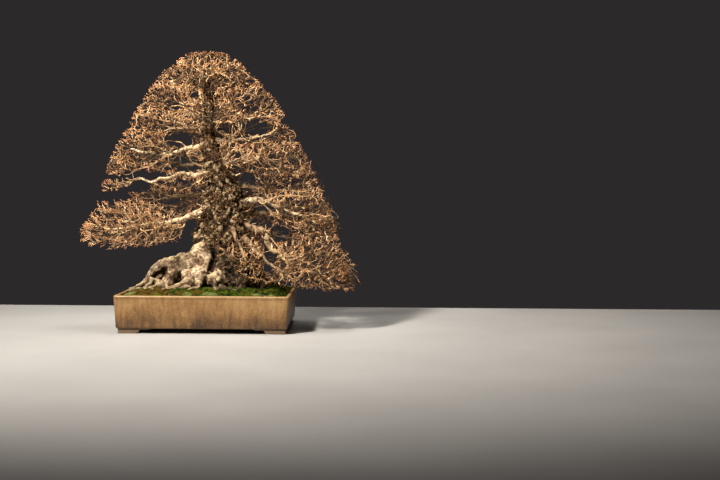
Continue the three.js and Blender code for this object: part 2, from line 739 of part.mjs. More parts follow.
// The branch grows out to its points one by one. Each new twig is the cheapest
// one left: short, without a sharp turn, and not too far along the wood.
function growTwigs(branch, stem, random) {
  const nodes = stem.points.map((point, i) => ({
    point,
    parent: i - 1,
    radius: stem.radii[i],
    isStem: true,
    reach: i === 0 ? 0 : point.distanceTo(stem.points[0]),
    along: point.clone().sub(stem.points[Math.max(i - 1, 0)]).normalize(),
  }));
  const waiting = pointsToReach(branch, random).map(point => ({ point, cost: Infinity, parent: -1 }));
  const offer = index => {
    const node = nodes[index];
    for (const goal of waiting) {
      const step = goal.point.clone().sub(node.point);
      const length = step.length();
      const turn = 1 - node.along.dot(step) / length;
      const cost = length * (1 + 0.45 * turn) + 0.35 * node.reach;
      if (cost < goal.cost) {
        goal.cost = cost;
        goal.parent = index;
      }
    }
  };
  nodes.forEach((node, i) => {
    if (i > 1) offer(i);
  });
  while (waiting.length > 0) {
    waiting.sort((a, b) => b.cost - a.cost);
    const { point, parent } = waiting.pop();
    const root = nodes[parent];
    if (isClear(root.point, point, branch.name)) {
      const along = point.clone().sub(root.point);
      nodes.push({ point, parent, reach: root.reach + along.length(), along: along.normalize() });
      offer(nodes.length - 1);
    }
  }
  return nodes;
}

// Wood thickens with the number of twig ends that it carries.
function thickenWood(nodes) {
  for (const node of nodes) {
    node.children = [];
    node.ends = 0;
  }
  for (let i = nodes.length - 1; i > 0; i -= 1) {
    const node = nodes[i];
    node.ends = Math.max(1, node.ends);
    nodes[node.parent].ends += node.ends;
    nodes[node.parent].children.unshift(i);
  }
  for (const node of nodes) {
    if (!node.isStem) {
      const most = 0.8 * nodes[node.parent].radius;
      node.radius = Math.min(most, TWIG_RADIUS * node.ends ** THICKENING);
    }
    node.radius = Math.max(node.radius, TWIG_RADIUS);
  }
}

// Thin wood has three sides, and thick wood a few more.
function sidesOf(radius) {
  if (radius > 4) return 5;
  return radius > 2.6 ? 4 : 3;
}

// One rod for each unbroken run of wood, from its root inside the wood that
// carries it out to its tip. A run goes on into the thickest of its forks.
function rodsOf(nodes) {
  const rods = [];
  const starts = [[0, null]];
  while (starts.length > 0) {
    const [start, root] = starts.pop();
    const run = root === null ? [] : [root];
    let index = start;
    while (index !== undefined) {
      run.push(index);
      const rank = child => (nodes[child].isStem ? 1e6 : nodes[child].ends);
      const forks = [...nodes[index].children].sort((a, b) => rank(b) - rank(a));
      for (const fork of forks.slice(1)) starts.push([fork, index]);
      [index] = forks;
    }
    const points = run.map(i => nodes[i].point);
    const radii = run.map(i => nodes[i].radius);
    if (root !== null) [, radii[0]] = radii;
    rods.push(bentRod(points, radii, sidesOf(Math.max(...radii)), { pointed: true }));
    register(points, radii, null);
  }
  return rods;
}

const stems = BRANCHES.map(({ wood }) => alongStations(wood, Math.round(1.25 * (wood.length - 1))));
for (const line of [TRUNK, ...ROOTS]) {
  const { points, radii } = alongStations(line, line.length - 1);
  register(points, radii.map(radius => 1.15 * radius + 1), 'trunk');
}
BRANCHES.forEach(({ name }, k) => register(stems[k].points, stems[k].radii, name));
for (const [k, branch] of BRANCHES.entries()) {
  const nodes = growTwigs(branch, stems[k], seeded(700 + k));
  thickenWood(nodes);
  const spray = wasm.Manifold.union(rodsOf(nodes)).subtract(trunkSpace);
  addPiece(branch.name, wholeBody(spray.simplify(FINENESS)), { color: 0xc9b48f, roughness: 0.75 });
}

// The origin lies under the middle of the whole object, on the plane that the feet stand on.
const middle = new THREE.Box3().setFromObject(tree).getCenter(new THREE.Vector3());
tree.position.set(-middle.x, -middle.y, 0);

export default tree;
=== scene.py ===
import math

import bmesh
import bpy
import numpy as np
from mathutils import Matrix, Vector


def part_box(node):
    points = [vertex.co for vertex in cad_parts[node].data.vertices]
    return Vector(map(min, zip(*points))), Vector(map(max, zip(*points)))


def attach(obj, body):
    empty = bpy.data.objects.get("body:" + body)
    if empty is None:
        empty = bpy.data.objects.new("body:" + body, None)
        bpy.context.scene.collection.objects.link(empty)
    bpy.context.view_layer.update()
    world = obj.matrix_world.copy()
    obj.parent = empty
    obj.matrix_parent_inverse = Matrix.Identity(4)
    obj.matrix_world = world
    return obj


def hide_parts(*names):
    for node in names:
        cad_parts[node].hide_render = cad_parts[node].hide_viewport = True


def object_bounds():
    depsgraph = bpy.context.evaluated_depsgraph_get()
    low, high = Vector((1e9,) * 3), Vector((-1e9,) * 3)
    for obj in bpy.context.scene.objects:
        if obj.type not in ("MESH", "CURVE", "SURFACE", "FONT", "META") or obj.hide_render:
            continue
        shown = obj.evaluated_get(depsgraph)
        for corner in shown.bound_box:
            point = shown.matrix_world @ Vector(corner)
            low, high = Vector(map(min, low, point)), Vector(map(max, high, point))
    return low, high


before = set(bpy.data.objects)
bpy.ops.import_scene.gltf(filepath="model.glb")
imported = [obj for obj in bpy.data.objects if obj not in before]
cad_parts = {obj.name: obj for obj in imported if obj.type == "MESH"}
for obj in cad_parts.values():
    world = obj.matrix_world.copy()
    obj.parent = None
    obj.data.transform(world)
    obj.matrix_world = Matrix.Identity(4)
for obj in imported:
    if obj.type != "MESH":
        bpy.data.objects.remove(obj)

# A hornbeam bonsai in winter, in its shallow rectangular pot. Lengths are in
# millimetres about the pot's middle, with the feet standing on z = 0, and
# each mesh is put into the frame, in metres, when it is made.
cad_box = [list(corner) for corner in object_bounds()]

# Pot
# One piece of stoneware, built from slabs and fired with an ochre glaze that is
# darker low on the walls and breaks pale along the rim, with a painted highlight
# along the rim and a band of painted shade just under it. The underside and the
# eight arms of its bracket feet are bare clay.
pot_low, pot_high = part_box("pot")
POT_MIDDLE = np.array([(pot_low.x + pot_high.x) / 2, (pot_low.y + pot_high.y) / 2, 0])
HALF_WIDTH = (pot_high.x - pot_low.x) * 500
HALF_DEPTH = (pot_high.y - pot_low.y) * 500
RIM_HEIGHT = pot_high.z * 1000
FOOT_HEIGHT = 12
POT_FLOOR = 21
WALL = 10
TAPER = 5
CORNER_RADIUS = 9
FOOT_ROUNDING = 4
RIM_ROUNDING = 3
FLOOR_FILLET = 4
UNDERSIDE_EDGE = 12
FOOT_LENGTH = 52
FOOT_THICKNESS = 14
FOOT_SET_IN = 5
FOOT_OVERLAP = 0.8
APRON_LENGTH = 76
APRON_HEIGHT = 3
APRON_CURVE = 8
FOOT_EDGE = 1.1
DRAIN_PLACES = (-95, 95)
DRAIN_RADIUS = 14
WALL_WAVE = 0.35


def shade(red, green, blue):
    """The colour that shows as these three numbers from 0 to 255."""
    parts = np.array([red, green, blue]) / 255
    linear = np.where(parts > 0.04045, ((parts + 0.055) / 1.055) ** 2.4, parts / 12.92)
    return (*linear.tolist(), 1.0)


class Value:
    """A number or colour that varies over a surface, with sums done by Math nodes."""

    def __init__(self, finish, socket):
        self.finish = finish
        self.socket = socket

    def math(self, operation, first, second):
        """What one Math node makes of two values."""
        return self.finish.node("Math", {"operation": operation}, {0: first, 1: second})

    def __add__(self, other):
        return self.math("ADD", self, other)

    def __sub__(self, other):
        return self.math("SUBTRACT", self, other)

    def __rsub__(self, other):
        return self.math("SUBTRACT", other, self)

    def __mul__(self, other):
        return self.math("MULTIPLY", self, other)

    __radd__ = __add__
    __rmul__ = __mul__

    def above(self, low, high):
        """0 below the low value and 1 above the high one, with a smooth rise between."""
        ends = {"From Min": low, "From Max": high}
        return self.finish.node("MapRange", {"interpolation_type": "SMOOTHSTEP"}, {"Value": self, **ends})


class Finish:
    """A material whose colour, gloss and relief are worked out by nodes."""

    def __init__(self, name, **constants):
        self.material = bpy.data.materials.new(name)
        self.material.use_nodes = True
        self.nodes = self.material.node_tree.nodes
        self.links = self.material.node_tree.links
        self.surface = self.nodes["Principled BSDF"]
        for socket, constant in constants.items():
            self.surface.inputs[socket.replace("_", " ")].default_value = constant
        self.place = self.node("TexCoord", {}, {}, output=3)

    def feed(self, socket, given):
        """Links a value to a socket, or sets the socket to a constant."""
        if isinstance(given, Value):
            self.links.new(given.socket, socket)
        else:
            socket.default_value = given

    def node(self, kind, settings, inputs, output=0):
        """A node of a kind, with its settings made first and then its sockets fed."""
        node = self.nodes.new("ShaderNode" + kind)
        for name, setting in settings.items():
            if name == "stops":
                elements = node.color_ramp.elements
                while len(elements) < len(setting):
                    elements.new(0.5)
                for element, (place, colour) in zip(elements, setting):
                    element.position = place
                    element.color = colour
            else:
                setattr(node, name, setting)
        for name, given in inputs.items():
            self.feed(node.inputs[name], given)
        return Value(self, node.outputs[output])

    def stretched(self, size, stretch=(1, 1, 1), start=0.0):
        """Places counted in lumps of a size in metres, longer along a stretched axis."""
        scale = [1 / (size * factor) for factor in stretch]
        return self.node("Mapping", {}, {"Vector": self.place, "Location": (start,) * 3, "Scale": scale})

    def noise(self, size, detail=2.0, stretch=(1, 1, 1), start=0.0):
        """Cloudy noise from 0 to 1."""
        where = self.stretched(size, stretch, start)
        return self.node("TexNoise", {}, {"Vector": where, "Scale": 1.0, "Detail": detail})

    def cells(self, size, stretch=(1, 1, 1), start=0.0):
        """How far it is to the nearest of points strewn one to a cell, counted in cells."""
        where = self.stretched(size, stretch, start)
        return self.node("TexVoronoi", {}, {"Vector": where, "Scale": 1.0})

    def height(self):
        """How high a place lies above the ground, in metres."""
        return self.node("SeparateXYZ", {}, {0: self.place}, output=2)

    def carried(self, name):
        """A value that the mesh carries at its points."""
        return self.node("Attribute", {"attribute_name": name}, {}, output=2)

    def ramp(self, value, *stops):
        """A colour between stops, each a value and the colour there."""
        return self.node("ValToRGB", {"stops": stops}, {0: value})

    def mix(self, factor, first, second):
        """The first colour where the factor is 0, and the second where it is 1."""
        return self.node("Mix", {"data_type": "RGBA"}, {0: factor, 6: first, 7: second}, output=2)

    def layers(self, colour, *layers):
        """Further colours laid over the first one in turn, each as thickly as its mask says."""
        for mask, over in layers:
            colour = self.mix(mask, colour, over)
        return colour

    def dress(self, colour, roughness, relief, depth):
        """Colour and roughness go to the surface, and relief from 0 to 1, which is
        a depth in metres high, goes to its normal."""
        self.feed(self.surface.inputs["Base Color"], colour)
        self.feed(self.surface.inputs["Roughness"], roughness)
        bump = self.node("Bump", {}, {"Height": relief, "Distance": depth, "Strength": 1.0})
        self.feed(self.surface.inputs["Normal"], bump)
        return self.material


def lattice(cells, seed):
    """A number from 0 to 1 for each whole-number place: its three numbers times
    large odd ones are added up, and the sum's bits are scrambled."""
    whole = cells.astype(np.int64).astype(np.uint32)
    mixed = whole[..., 0] * np.uint32(374761393) + whole[..., 1] * np.uint32(668265263)
    mixed = mixed + whole[..., 2] * np.uint32(2246822519) + np.uint32(seed * 40503 + 977)
    mixed = (mixed ^ (mixed >> np.uint32(15))) * np.uint32(2146121005)
    mixed = (mixed ^ (mixed >> np.uint32(13))) * np.uint32(1274126177)
    return (mixed ^ (mixed >> np.uint32(16))) / 4294967296.0


def cloud(points, size, seed=0):
    """Smooth noise from -1 to 1 in lumps of a size: the numbers at the eight
    corners of each point's cell, mixed by a smooth step along each axis."""
    place = points / size
    cell = np.floor(place)
    part = place - cell
    part = part * part * (3 - 2 * part)
    total = np.zeros(points.shape[:-1])
    for corner in np.ndindex(2, 2, 2):
        weight = np.prod(np.where(np.array(corner) == 1, part, 1 - part), axis=-1)
        total += weight * lattice(cell + corner, seed)
    return 2 * total - 1


def pebbles(points, size, seed=0):
    """Distances to the nearest and the second nearest of points strewn one to a
    cell, counted in cells: near 0 on a pebble's middle, and alike along its edge."""
    place = points / size
    cell = np.floor(place)
    nearest = np.full(points.shape[:-1], 9.0)
    second = nearest.copy()
    for corner in np.ndindex(3, 3, 3):
        other = cell + corner - 1
        seat = other + np.stack([lattice(other, seed + k) for k in (1, 2, 3)], axis=-1)
        apart = np.linalg.norm(seat - place, axis=-1)
        second = np.minimum(second, np.maximum(nearest, apart))
        nearest = np.minimum(nearest, apart)
    return nearest, second


class Pile:
    """Points, faces and values at the points, gathered from shapes into one mesh."""

    def __init__(self):
        self.points = []
        self.faces = []
        self.values = {}
        self.count = 0

    def add(self, points, faces, **values):
        """Adds points, groups of faces that count these points from 0, and values at them."""
        points = points.reshape(-1, 3)
        self.points.append(points)
        self.faces.extend(group + self.count for group in faces if len(group))
        self.count += len(points)
        for name, value in values.items():
            self.values.setdefault(name, []).append(np.broadcast_to(value, len(points)))

    def mesh(self, name):
        """The whole pile as a mesh in the frame, in metres."""
        corners = np.concatenate([group.ravel() for group in self.faces])
        sizes = np.concatenate([np.full(len(group), group.shape[1]) for group in self.faces])
        starts = np.concatenate([[0], np.cumsum(sizes)[:-1]])
        mesh = bpy.data.meshes.new(name)
        mesh.vertices.add(self.count)
        mesh.vertices.foreach_set("co", (np.concatenate(self.points) / 1000 + POT_MIDDLE).ravel())
        mesh.loops.add(len(corners))
        mesh.loops.foreach_set("vertex_index", corners.astype(np.int32))
        mesh.polygons.add(len(sizes))
        mesh.polygons.foreach_set("loop_start", starts.astype(np.int32))
        for value_name, parts in self.values.items():
            layer = mesh.attributes.new(value_name, "FLOAT", "POINT")
            layer.data.foreach_set("value", np.concatenate(parts).astype(np.float32))
        mesh.update(calc_edges=True)
        return mesh


def show(name, mesh, material, nodes, crease=180):
    """Puts a finished mesh on show in place of CAD nodes. Edges sharper than the crease stay crisp."""
    mesh.shade_smooth()
    if crease < 180:
        mesh.set_sharp_from_angle(angle=math.radians(crease))
    mesh.materials.clear()
    mesh.materials.append(material)
    piece = bpy.data.objects.new(name, mesh)
    bpy.context.scene.collection.objects.link(piece)
    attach(piece, "root")
    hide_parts(*nodes)


def settled(name, mesh, *modifiers):
    """The mesh that is left when modifiers, each a kind and its settings, are applied in turn."""
    holder = bpy.data.objects.new(name, mesh)
    bpy.context.scene.collection.objects.link(holder)
    for kind, settings in modifiers:
        modifier = holder.modifiers.new(kind.lower(), kind)
        for setting, given in settings.items():
            setattr(modifier, setting, given)
    done = bpy.data.meshes.new_from_object(holder.evaluated_get(bpy.context.evaluated_depsgraph_get()))
    bpy.data.objects.remove(holder)
    return done


def band(rings, around):
    """Quads between neighbouring rings of points, each ring closed on itself."""
    ring, place = np.meshgrid(np.arange(rings - 1), np.arange(around), indexing="ij")
    near = ring * around + place
    far = ring * around + (place + 1) % around
    return np.stack([near, far, far + around, near + around], axis=-1).reshape(-1, 4)


def fan(first, around, pole, facing_up):
    """Triangles from a ring to a pole: the ring runs anticlockwise seen from above."""
    place = np.arange(around)
    near = first + place
    far = first + (place + 1) % around
    pair = (near, far) if facing_up else (far, near)
    return np.stack([*pair, np.full(around, pole)], axis=-1)


def closed(rows, low_pole, high_pole):
    """A surface of rings, closed on a pole under the first and on one over the last."""
    rings, around = rows.shape[:2]
    low = rings * around
    faces = [band(rings, around), fan(0, around, low, False), fan(low - around, around, low + 1, True)]
    return np.concatenate([rows.reshape(-1, 3), [low_pole, high_pole]]), faces


def rounded_rectangle(side_steps, corner_steps):
    """A rectangle with round corners, of any size: for each point of its outline
    its share of the half sides, from -1 to 1, and its outward direction."""
    turns = np.linspace(0, math.pi / 2, corner_steps + 1)
    shares = []
    ways = []
    signs = np.array([(1, -1), (1, 1), (-1, 1), (-1, -1)], float)
    for k, corner in enumerate(signs):
        following = signs[(k + 1) % 4]
        angles = turns + (k - 1) * math.pi / 2
        part = np.linspace(0, 1, side_steps + 1)[1:-1, None]
        shares += [np.repeat(corner[None], len(turns), 0), corner + part * (following - corner)]
        directions = np.stack([np.cos(angles), np.sin(angles)], axis=1)
        ways += [directions, np.repeat(directions[-1:], len(part), 0)]
    return np.concatenate(shares), np.concatenate(ways)


def quarter(radius, steps):
    """Sines and cosines along a quarter turn, times a radius."""
    turns = np.linspace(0, math.pi / 2, steps + 1)
    return radius * np.sin(turns), radius * np.cos(turns)


def pot_profile():
    """Each row's distance in from the wall's face and its height, from the
    underside out, up the wall, over the rim, down inside and in along the floor."""
    foot_in, foot_up = quarter(FOOT_ROUNDING, 4)
    rim_up, rim_in = quarter(RIM_ROUNDING, 4)
    fillet_in, fillet_up = quarter(FLOOR_FILLET, 3)
    wall_start = FOOT_HEIGHT + FOOT_ROUNDING
    wall_end = RIM_HEIGHT - RIM_ROUNDING
    fillet_start = POT_FLOOR + FLOOR_FILLET
    rows = [(UNDERSIDE_EDGE, FOOT_HEIGHT)]
    rows += list(zip(FOOT_ROUNDING - foot_in, wall_start - foot_up))
    rows += [(0, height) for height in np.linspace(wall_start, wall_end, 16)[1:-1]]
    rows += list(zip(RIM_ROUNDING - rim_in, wall_end + rim_up))
    rows += list(zip(WALL - RIM_ROUNDING + rim_up, wall_end + rim_in))
    rows += [(WALL, height) for height in np.linspace(wall_end, fillet_start, 6)[1:]]
    rows += list(zip(WALL + FLOOR_FILLET - fillet_up[1:], fillet_start - fillet_in[1:]))
    return np.array(rows)


def pot_body():
    """Every row of the profile is the wall's outline moved in, with tighter corners,
    and scaled by the taper, with a slow wave on the wall's outer face; both floors close on a pole."""
    shares, ways = rounded_rectangle(22, 6)
    inset, height = pot_profile().T[:, :, None]
    narrowing = TAPER * (RIM_HEIGHT - height) / (RIM_HEIGHT - FOOT_HEIGHT)
    radius = CORNER_RADIUS - 0.5 * inset
    x = shares[:, 0] * (HALF_WIDTH - inset - radius) + radius * ways[:, 0]
    y = shares[:, 1] * (HALF_DEPTH - inset - radius) + radius * ways[:, 1]
    x = x * (1 - narrowing / HALF_WIDTH)
    y = y * (1 - narrowing / HALF_DEPTH)
    rows = np.stack([x, y, np.broadcast_to(height, x.shape)], axis=-1)
    wave = WALL_WAVE * (cloud(rows, 45, 3) + 0.5 * cloud(rows, 17, 4) - 1.5) / 1.5
    rows[..., :2] += np.where(inset < 1, wave, 0)[..., None] * ways
    return closed(rows, [0, 0, FOOT_HEIGHT], [0, 0, POT_FLOOR])


def foot_arm():
    """One arm of a foot as a prism: from its outer end the foot runs on the
    ground, rises on a short curve and goes on as a thin apron under the floor."""
    turns = np.linspace(0, math.pi / 2, 6)
    curve_x = FOOT_LENGTH - APRON_CURVE + APRON_CURVE * np.sin(turns)
    apron = FOOT_HEIGHT - APRON_HEIGHT
    curve_z = apron * (1 - np.cos(turns))
    top = FOOT_HEIGHT + APRON_HEIGHT
    far = [[APRON_LENGTH, apron], [APRON_LENGTH + APRON_HEIGHT, top]]
    outline = np.array([[FOOT_OVERLAP, 0], *zip(curve_x, curve_z), *far, [FOOT_OVERLAP, top]])
    count = len(outline)
    front = np.stack([outline[:, 0], np.zeros(count), outline[:, 1]], axis=1)
    back = front + [0, FOOT_THICKNESS, 0]
    place = np.arange(count)
    following = (place + 1) % count
    sides = np.stack([following, place, place + count, following + count], axis=1)
    return np.concatenate([front, back]), [place[None], (place[::-1] + count)[None], sides]


def pot_feet(pile):
    """An arm along each side from each corner: turned by quarters and mirrored."""
    x = HALF_WIDTH - TAPER - FOOT_SET_IN
    y = HALF_DEPTH - TAPER - FOOT_SET_IN
    points, faces = foot_arm()
    for turn, (side, reach) in enumerate([(x, y), (y, x), (x, y), (y, x)]):
        sine = round(math.sin(turn * math.pi / 2))
        cosine = round(math.cos(turn * math.pi / 2))
        spin = np.array([[cosine, sine, 0], [-sine, cosine, 0], [0, 0, 1]])
        pile.add((points + [-side, -reach, 0]) @ spin, faces)
        mirrored = points * [-1, 1, 1] + [side, -reach, 0]
        pile.add(mirrored @ spin, [group[:, ::-1] for group in faces])


def drain_cutter():
    """Two upright cylinders that stand out under and over the pot's floor."""
    sides = 40
    around = np.arange(sides)
    angles = around * 2 * math.pi / sides
    pile = Pile()
    for place in DRAIN_PLACES:
        x, y = place + DRAIN_RADIUS * np.cos(angles), DRAIN_RADIUS * np.sin(angles)
        rings = [np.column_stack([x, y, np.full(sides, z)]) for z in (POT_FLOOR - 16, POT_FLOOR + 19)]
        pile.add(np.stack(rings), [band(2, sides), around[None, ::-1], sides + around[None]])
    return pile.mesh("drain_cutter")


def joined(name, *meshes):
    """One mesh that holds the points and faces of several."""
    clay = bmesh.new()
    for mesh in meshes:
        clay.from_mesh(mesh)
    whole = bpy.data.meshes.new(name)
    clay.to_mesh(whole)
    clay.free()
    return whole


def glaze():
    """Ochre glaze: cloudy, with runs down the wall, a darker foot, iron specks and
    crawled pale spots, thin and pale where it breaks over the rim, with a painted
    highlight along the rim and a band of painted shade just under it; bare clay below."""
    finish = Finish("ochre_glaze", Specular_IOR_Level=0.45)
    height = finish.height()
    broad = finish.noise(0.055, 3.0, start=4.0)
    runs = finish.noise(0.008, 3.0, (1, 1, 5), 9.0)
    blots = finish.noise(0.018, 4.0, start=17.0)
    fine = finish.noise(0.0035, 3.0)
    low = 1 - height.above(0.012, 0.07)
    depth = low * 0.5 + (broad - 0.5) + (runs - 0.5) * 0.75 + (blots - 0.5) * 0.45 + (fine - 0.5) * 0.6
    glaze_tones = finish.ramp(
        depth + 0.32,
        (0.0, shade(148, 118, 77)),
        (0.3, shade(129, 97, 58)),
        (0.52, shade(110, 80, 45)),
        (0.75, shade(86, 61, 34)),
        (1.0, shade(60, 42, 24)),
    )
    stains = finish.noise(0.02, 4.0, (1, 1, 2.2), 31.0).above(0.60, 0.74) * (low * 0.6 + 0.2)
    iron = finish.noise(0.016, start=5.0) + height.above(0.076, 0.088) * 0.12
    specks = (1 - finish.cells(0.0042, start=2.0).above(0.13, 0.24)) * iron.above(0.46, 0.56)
    spots = 1 - finish.cells(0.0075, start=12.0).above(0.12, 0.2)
    # Painted shade: a darker band just under the rim's lip.
    painted_shade_under_rim = height.above(0.0815, 0.0845) * (1 - height.above(0.0868, 0.0885))
    # Thin glaze breaks pale over the rim, and a painted highlight lies along it.
    rim = (height + (fine - 0.5) * 0.0016).above(0.0880, 0.0906)
    clay = 1 - (height + (fine - 0.5) * 0.0015).above(0.0128, 0.0142)
    grit = finish.ramp(finish.noise(0.002, 4.0), (0.3, shade(78, 62, 48)), (0.7, shade(116, 94, 72)))
    colour = finish.layers(
        glaze_tones,
        (stains * 0.2, shade(98, 74, 44)),
        (specks * 0.85, shade(52, 34, 20)),
        (spots * 0.22, shade(186, 158, 112)),
        (painted_shade_under_rim * 0.45, shade(84, 58, 32)),
        (rim * 0.7, shade(148, 118, 76)),
        (clay, grit),
    )
    roughness = clay * 0.45 + stains * 0.2 + runs * 0.2 + 0.3
    relief = broad * 0.4 + runs * 0.3 + fine * 0.2 - specks * 0.1 + clay * finish.noise(0.0009, 2.0)
    return finish.dress(colour, roughness, relief, 0.0006)


body = Pile()
body.add(*pot_body())
cutter = bpy.data.objects.new("drain_cutter", drain_cutter())
bpy.context.scene.collection.objects.link(cutter)
drilled = settled("drilled", body.mesh("pot_body"), ("BOOLEAN", {"object": cutter, "solver": "EXACT"}))
bpy.data.objects.remove(cutter)
feet = Pile()
pot_feet(feet)
edge = {"width": FOOT_EDGE / 1000, "segments": 2, "limit_method": "ANGLE", "angle_limit": math.radians(50)}
rounded = settled("feet", feet.mesh("pot_feet"), ("BEVEL", edge))
pot_mesh = joined("stoneware_pot", drilled, rounded)
show("stoneware_pot", pot_mesh, glaze(), ["pot"], crease=42)

# Drainage screens
# A square of moulded black plastic mesh lies over each drain hole, under the
# soil. Its bars keep the shape that the frame gives them, with a dull scuffed
# surface.


def screen_plastic():
    """Near-black plastic, a little paler where it is scuffed."""
    finish = Finish("screen_plastic")
    scuffs = finish.noise(0.004, 4.0)
    colour = finish.ramp(scuffs, (0.35, shade(36, 37, 38)), (0.75, shade(70, 70, 68)))
    return finish.dress(colour, scuffs * 0.3 + 0.4, finish.noise(0.0008), 0.0001)


plastic = screen_plastic()
for side in ("left", "right"):
    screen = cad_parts["drain_screen_" + side]
    screen.data.materials.clear()
    screen.data.materials.append(plastic)

# Soil
# Baked clay grains packed round the roots: a dark mound, lowest along the
# walls, whose loose top grains show between the moss cushions. Each cushion is
# given by its middle and its half lengths across and along the pot.
SOIL_EDGE = 84
SOIL_MOUND = 24
SOIL_SPAN = (205, 152)
SOIL_LOW = 24
SOIL_GAP = 0.6
SOIL_CORNER = 5
GRAINS = 1200
GRAIN_SIZES = (1.3, 2.7)
GRAIN_PLACES = np.array([201, 148])
GRAIN_REACH = np.array([202.5, 149.5])
MOSS = {
    "moss_front_left": [-138, -112, 62, 36],
    "moss_front_middle": [-22, -118, 62, 30],
    "moss_front_right": [92, -116, 66, 32],
    "moss_right_corner": [172, -78, 30, 66],
    "moss_right_back": [158, 70, 44, 76],
    "moss_back_middle": [42, 118, 78, 32],
    "moss_back_left": [-92, 112, 66, 38],
    "moss_left": [-164, 10, 40, 78],
    "moss_under_root": [-74, -12, 46, 40],
}


def soil_height(x, y):
    """The edge's height plus the mound, which falls off by the fourth power of
    the distance across the pot and the third power of the distance from front to back."""
    across = 1 - np.minimum(1, np.abs(x) / SOIL_SPAN[0]) ** 4
    along = 1 - np.minimum(1, np.abs(y) / SOIL_SPAN[1]) ** 3
    return SOIL_EDGE + SOIL_MOUND * across * along


def soil_mound(pile):
    """Rings of the pot's inner outline, scaled from the middle out to the wall,
    lifted to the soil's height with a crumbly wave, then one close over the pot's floor."""
    shares, ways = rounded_rectangle(26, 3)
    inset = WALL + SOIL_GAP + SOIL_CORNER
    outline = shares * [HALF_WIDTH - inset, HALF_DEPTH - inset] + SOIL_CORNER * ways
    outward = np.sqrt(np.linspace(0.0004, 1, 34))[:, None, None] * outline
    top = np.concatenate([outward, soil_height(outward[..., 0], outward[..., 1])[..., None]], axis=-1)
    top[:-1, :, 2] += 0.9 * cloud(top[:-1], 9, 21) + 0.6 * cloud(top[:-1], 4, 22)
    foot = top[-1:] * [0.976, 0.972, 0] + [0, 0, SOIL_LOW]
    rows = np.concatenate([foot, top[::-1]])
    pile.add(*closed(rows, [0, 0, SOIL_LOW], [0, 0, rows[-1, 0, 2]]), tint=0.25)


def icosahedron():
    """Twelve points at golden-ratio places on a ball, and the twenty faces between
    points that are next to one another."""
    long = (1 + 5 ** 0.5) / 2
    points = np.array([[s, t * long, 0] for s in (-1, 1) for t in (-1, 1)])
    points = np.concatenate([points, points[:, [2, 0, 1]], points[:, [1, 2, 0]]])
    points = points / np.linalg.norm(points[0])
    apart = np.linalg.norm(points[:, None] - points[None], axis=-1)
    near = (apart > 0.1) & (apart < 1.1)
    faces = np.argwhere(near[:, :, None] & near[None] & near[:, None])
    faces = faces[(faces[:, 0] < faces[:, 1]) & (faces[:, 1] < faces[:, 2])]
    is_outward = np.linalg.det(points[faces]) > 0
    return points, np.where(is_outward[:, None], faces, faces[:, ::-1])


def copies(faces, size, count):
    """The faces of one shape, for many copies of its points that follow one another."""
    return (faces[None] + size * np.arange(count)[:, None, None]).reshape(-1, faces.shape[1])


def is_bare(places):
    """Whether places lie outside every cushion, or in a thin part of its edge."""
    patches = np.array(list(MOSS.values()), float)
    depth = np.linalg.norm((places[:, None] - patches[:, :2]) / patches[:, 2:], axis=-1)
    return (depth > 0.93).all(axis=1)


def strew_grains(pile, draws):
    """Small dented balls dropped evenly over the soil wherever it is bare."""
    places = draws.uniform(-GRAIN_PLACES, GRAIN_PLACES, (GRAINS * 4, 2))
    places = places[is_bare(places)][:GRAINS]
    count = len(places)
    ball, faces = icosahedron()
    size = draws.uniform(*GRAIN_SIZES, (count, 1, 1)) * draws.uniform(0.75, 1.2, (count, 1, 3))
    points = ball * size * draws.uniform(0.8, 1.15, (count, 12, 1))
    seats = np.column_stack([places, soil_height(*places.T) + 0.3 * size[:, 0, 2]])
    points += seats[:, None]
    points[..., :2] = np.clip(points[..., :2], -GRAIN_REACH, GRAIN_REACH)
    pile.add(points, [copies(faces, 12, count)], tint=np.repeat(draws.uniform(0, 1, count), 12))


def baked_clay():
    """Grains from red-brown to dark grey-brown, damp in places, with a fine grit."""
    finish = Finish("baked_clay", Specular_IOR_Level=0.25)
    grit = finish.noise(0.0016, 3.0)
    grains = finish.ramp(
        finish.carried("tint") + (grit - 0.5) * 0.35,
        (0.0, shade(52, 39, 28)),
        (0.4, shade(88, 64, 43)),
        (0.75, shade(121, 88, 58)),
        (1.0, shade(146, 120, 88)),
    )
    damp = finish.noise(0.03, 2.0, start=3.0).above(0.42, 0.62)
    colour = finish.mix(damp * 0.5, grains, shade(44, 36, 24))
    return finish.dress(colour, 0.95 - damp * 0.2, grit, 0.0006)


soil = Pile()
soil_mound(soil)
strew_grains(soil, np.random.default_rng(11))
show("clay_grain_soil", soil.mesh("clay_grain_soil"), baked_clay(), ["soil"], crease=50)

# Moss
# Cushions of living moss laid on the soil as plugs that have grown together:
# each is a low uneven dome of clumps, furred all over with short shoots.
MOSS_THICKNESS = 9
OLIVE = ("moss_front_left", "moss_left")
SAGE = np.array([[22, -139, 24, 8], [146, -139, 30, 8], [-38, -141, 15, 6], [-176, -128, 15, 9]], float)
CUSHION_REACH = np.array([202.2, 149.2])
CLUMP_RISE = 2.6
SAGE_RISE = 2.2
MOSS_SHOOTS_PER_AREA = 0.2
MOSS_SHOOT_SIZES = (1.5, 3.0)
MOSS_SHOOT_GIRTH = 0.32
MOSS_SHOOT_REACH = np.array([202.6, 149.6])


class Draws:
    """Numbers from 0 to 1 drawn from a seed: a counter whose bits are scrambled twice."""

    def __init__(self, seed):
        self.state = seed

    def __call__(self):
        mask = 0xFFFFFFFF
        self.state = (self.state + 0x6D2B79F5) & mask
        mixed = self.state
        mixed = (mixed ^ (mixed >> 15)) * (mixed | 1) & mask
        mixed ^= (mixed + ((mixed ^ (mixed >> 7)) * (mixed | 61) & mask)) & mask
        return ((mixed ^ (mixed >> 14)) & mask) / 4294967296


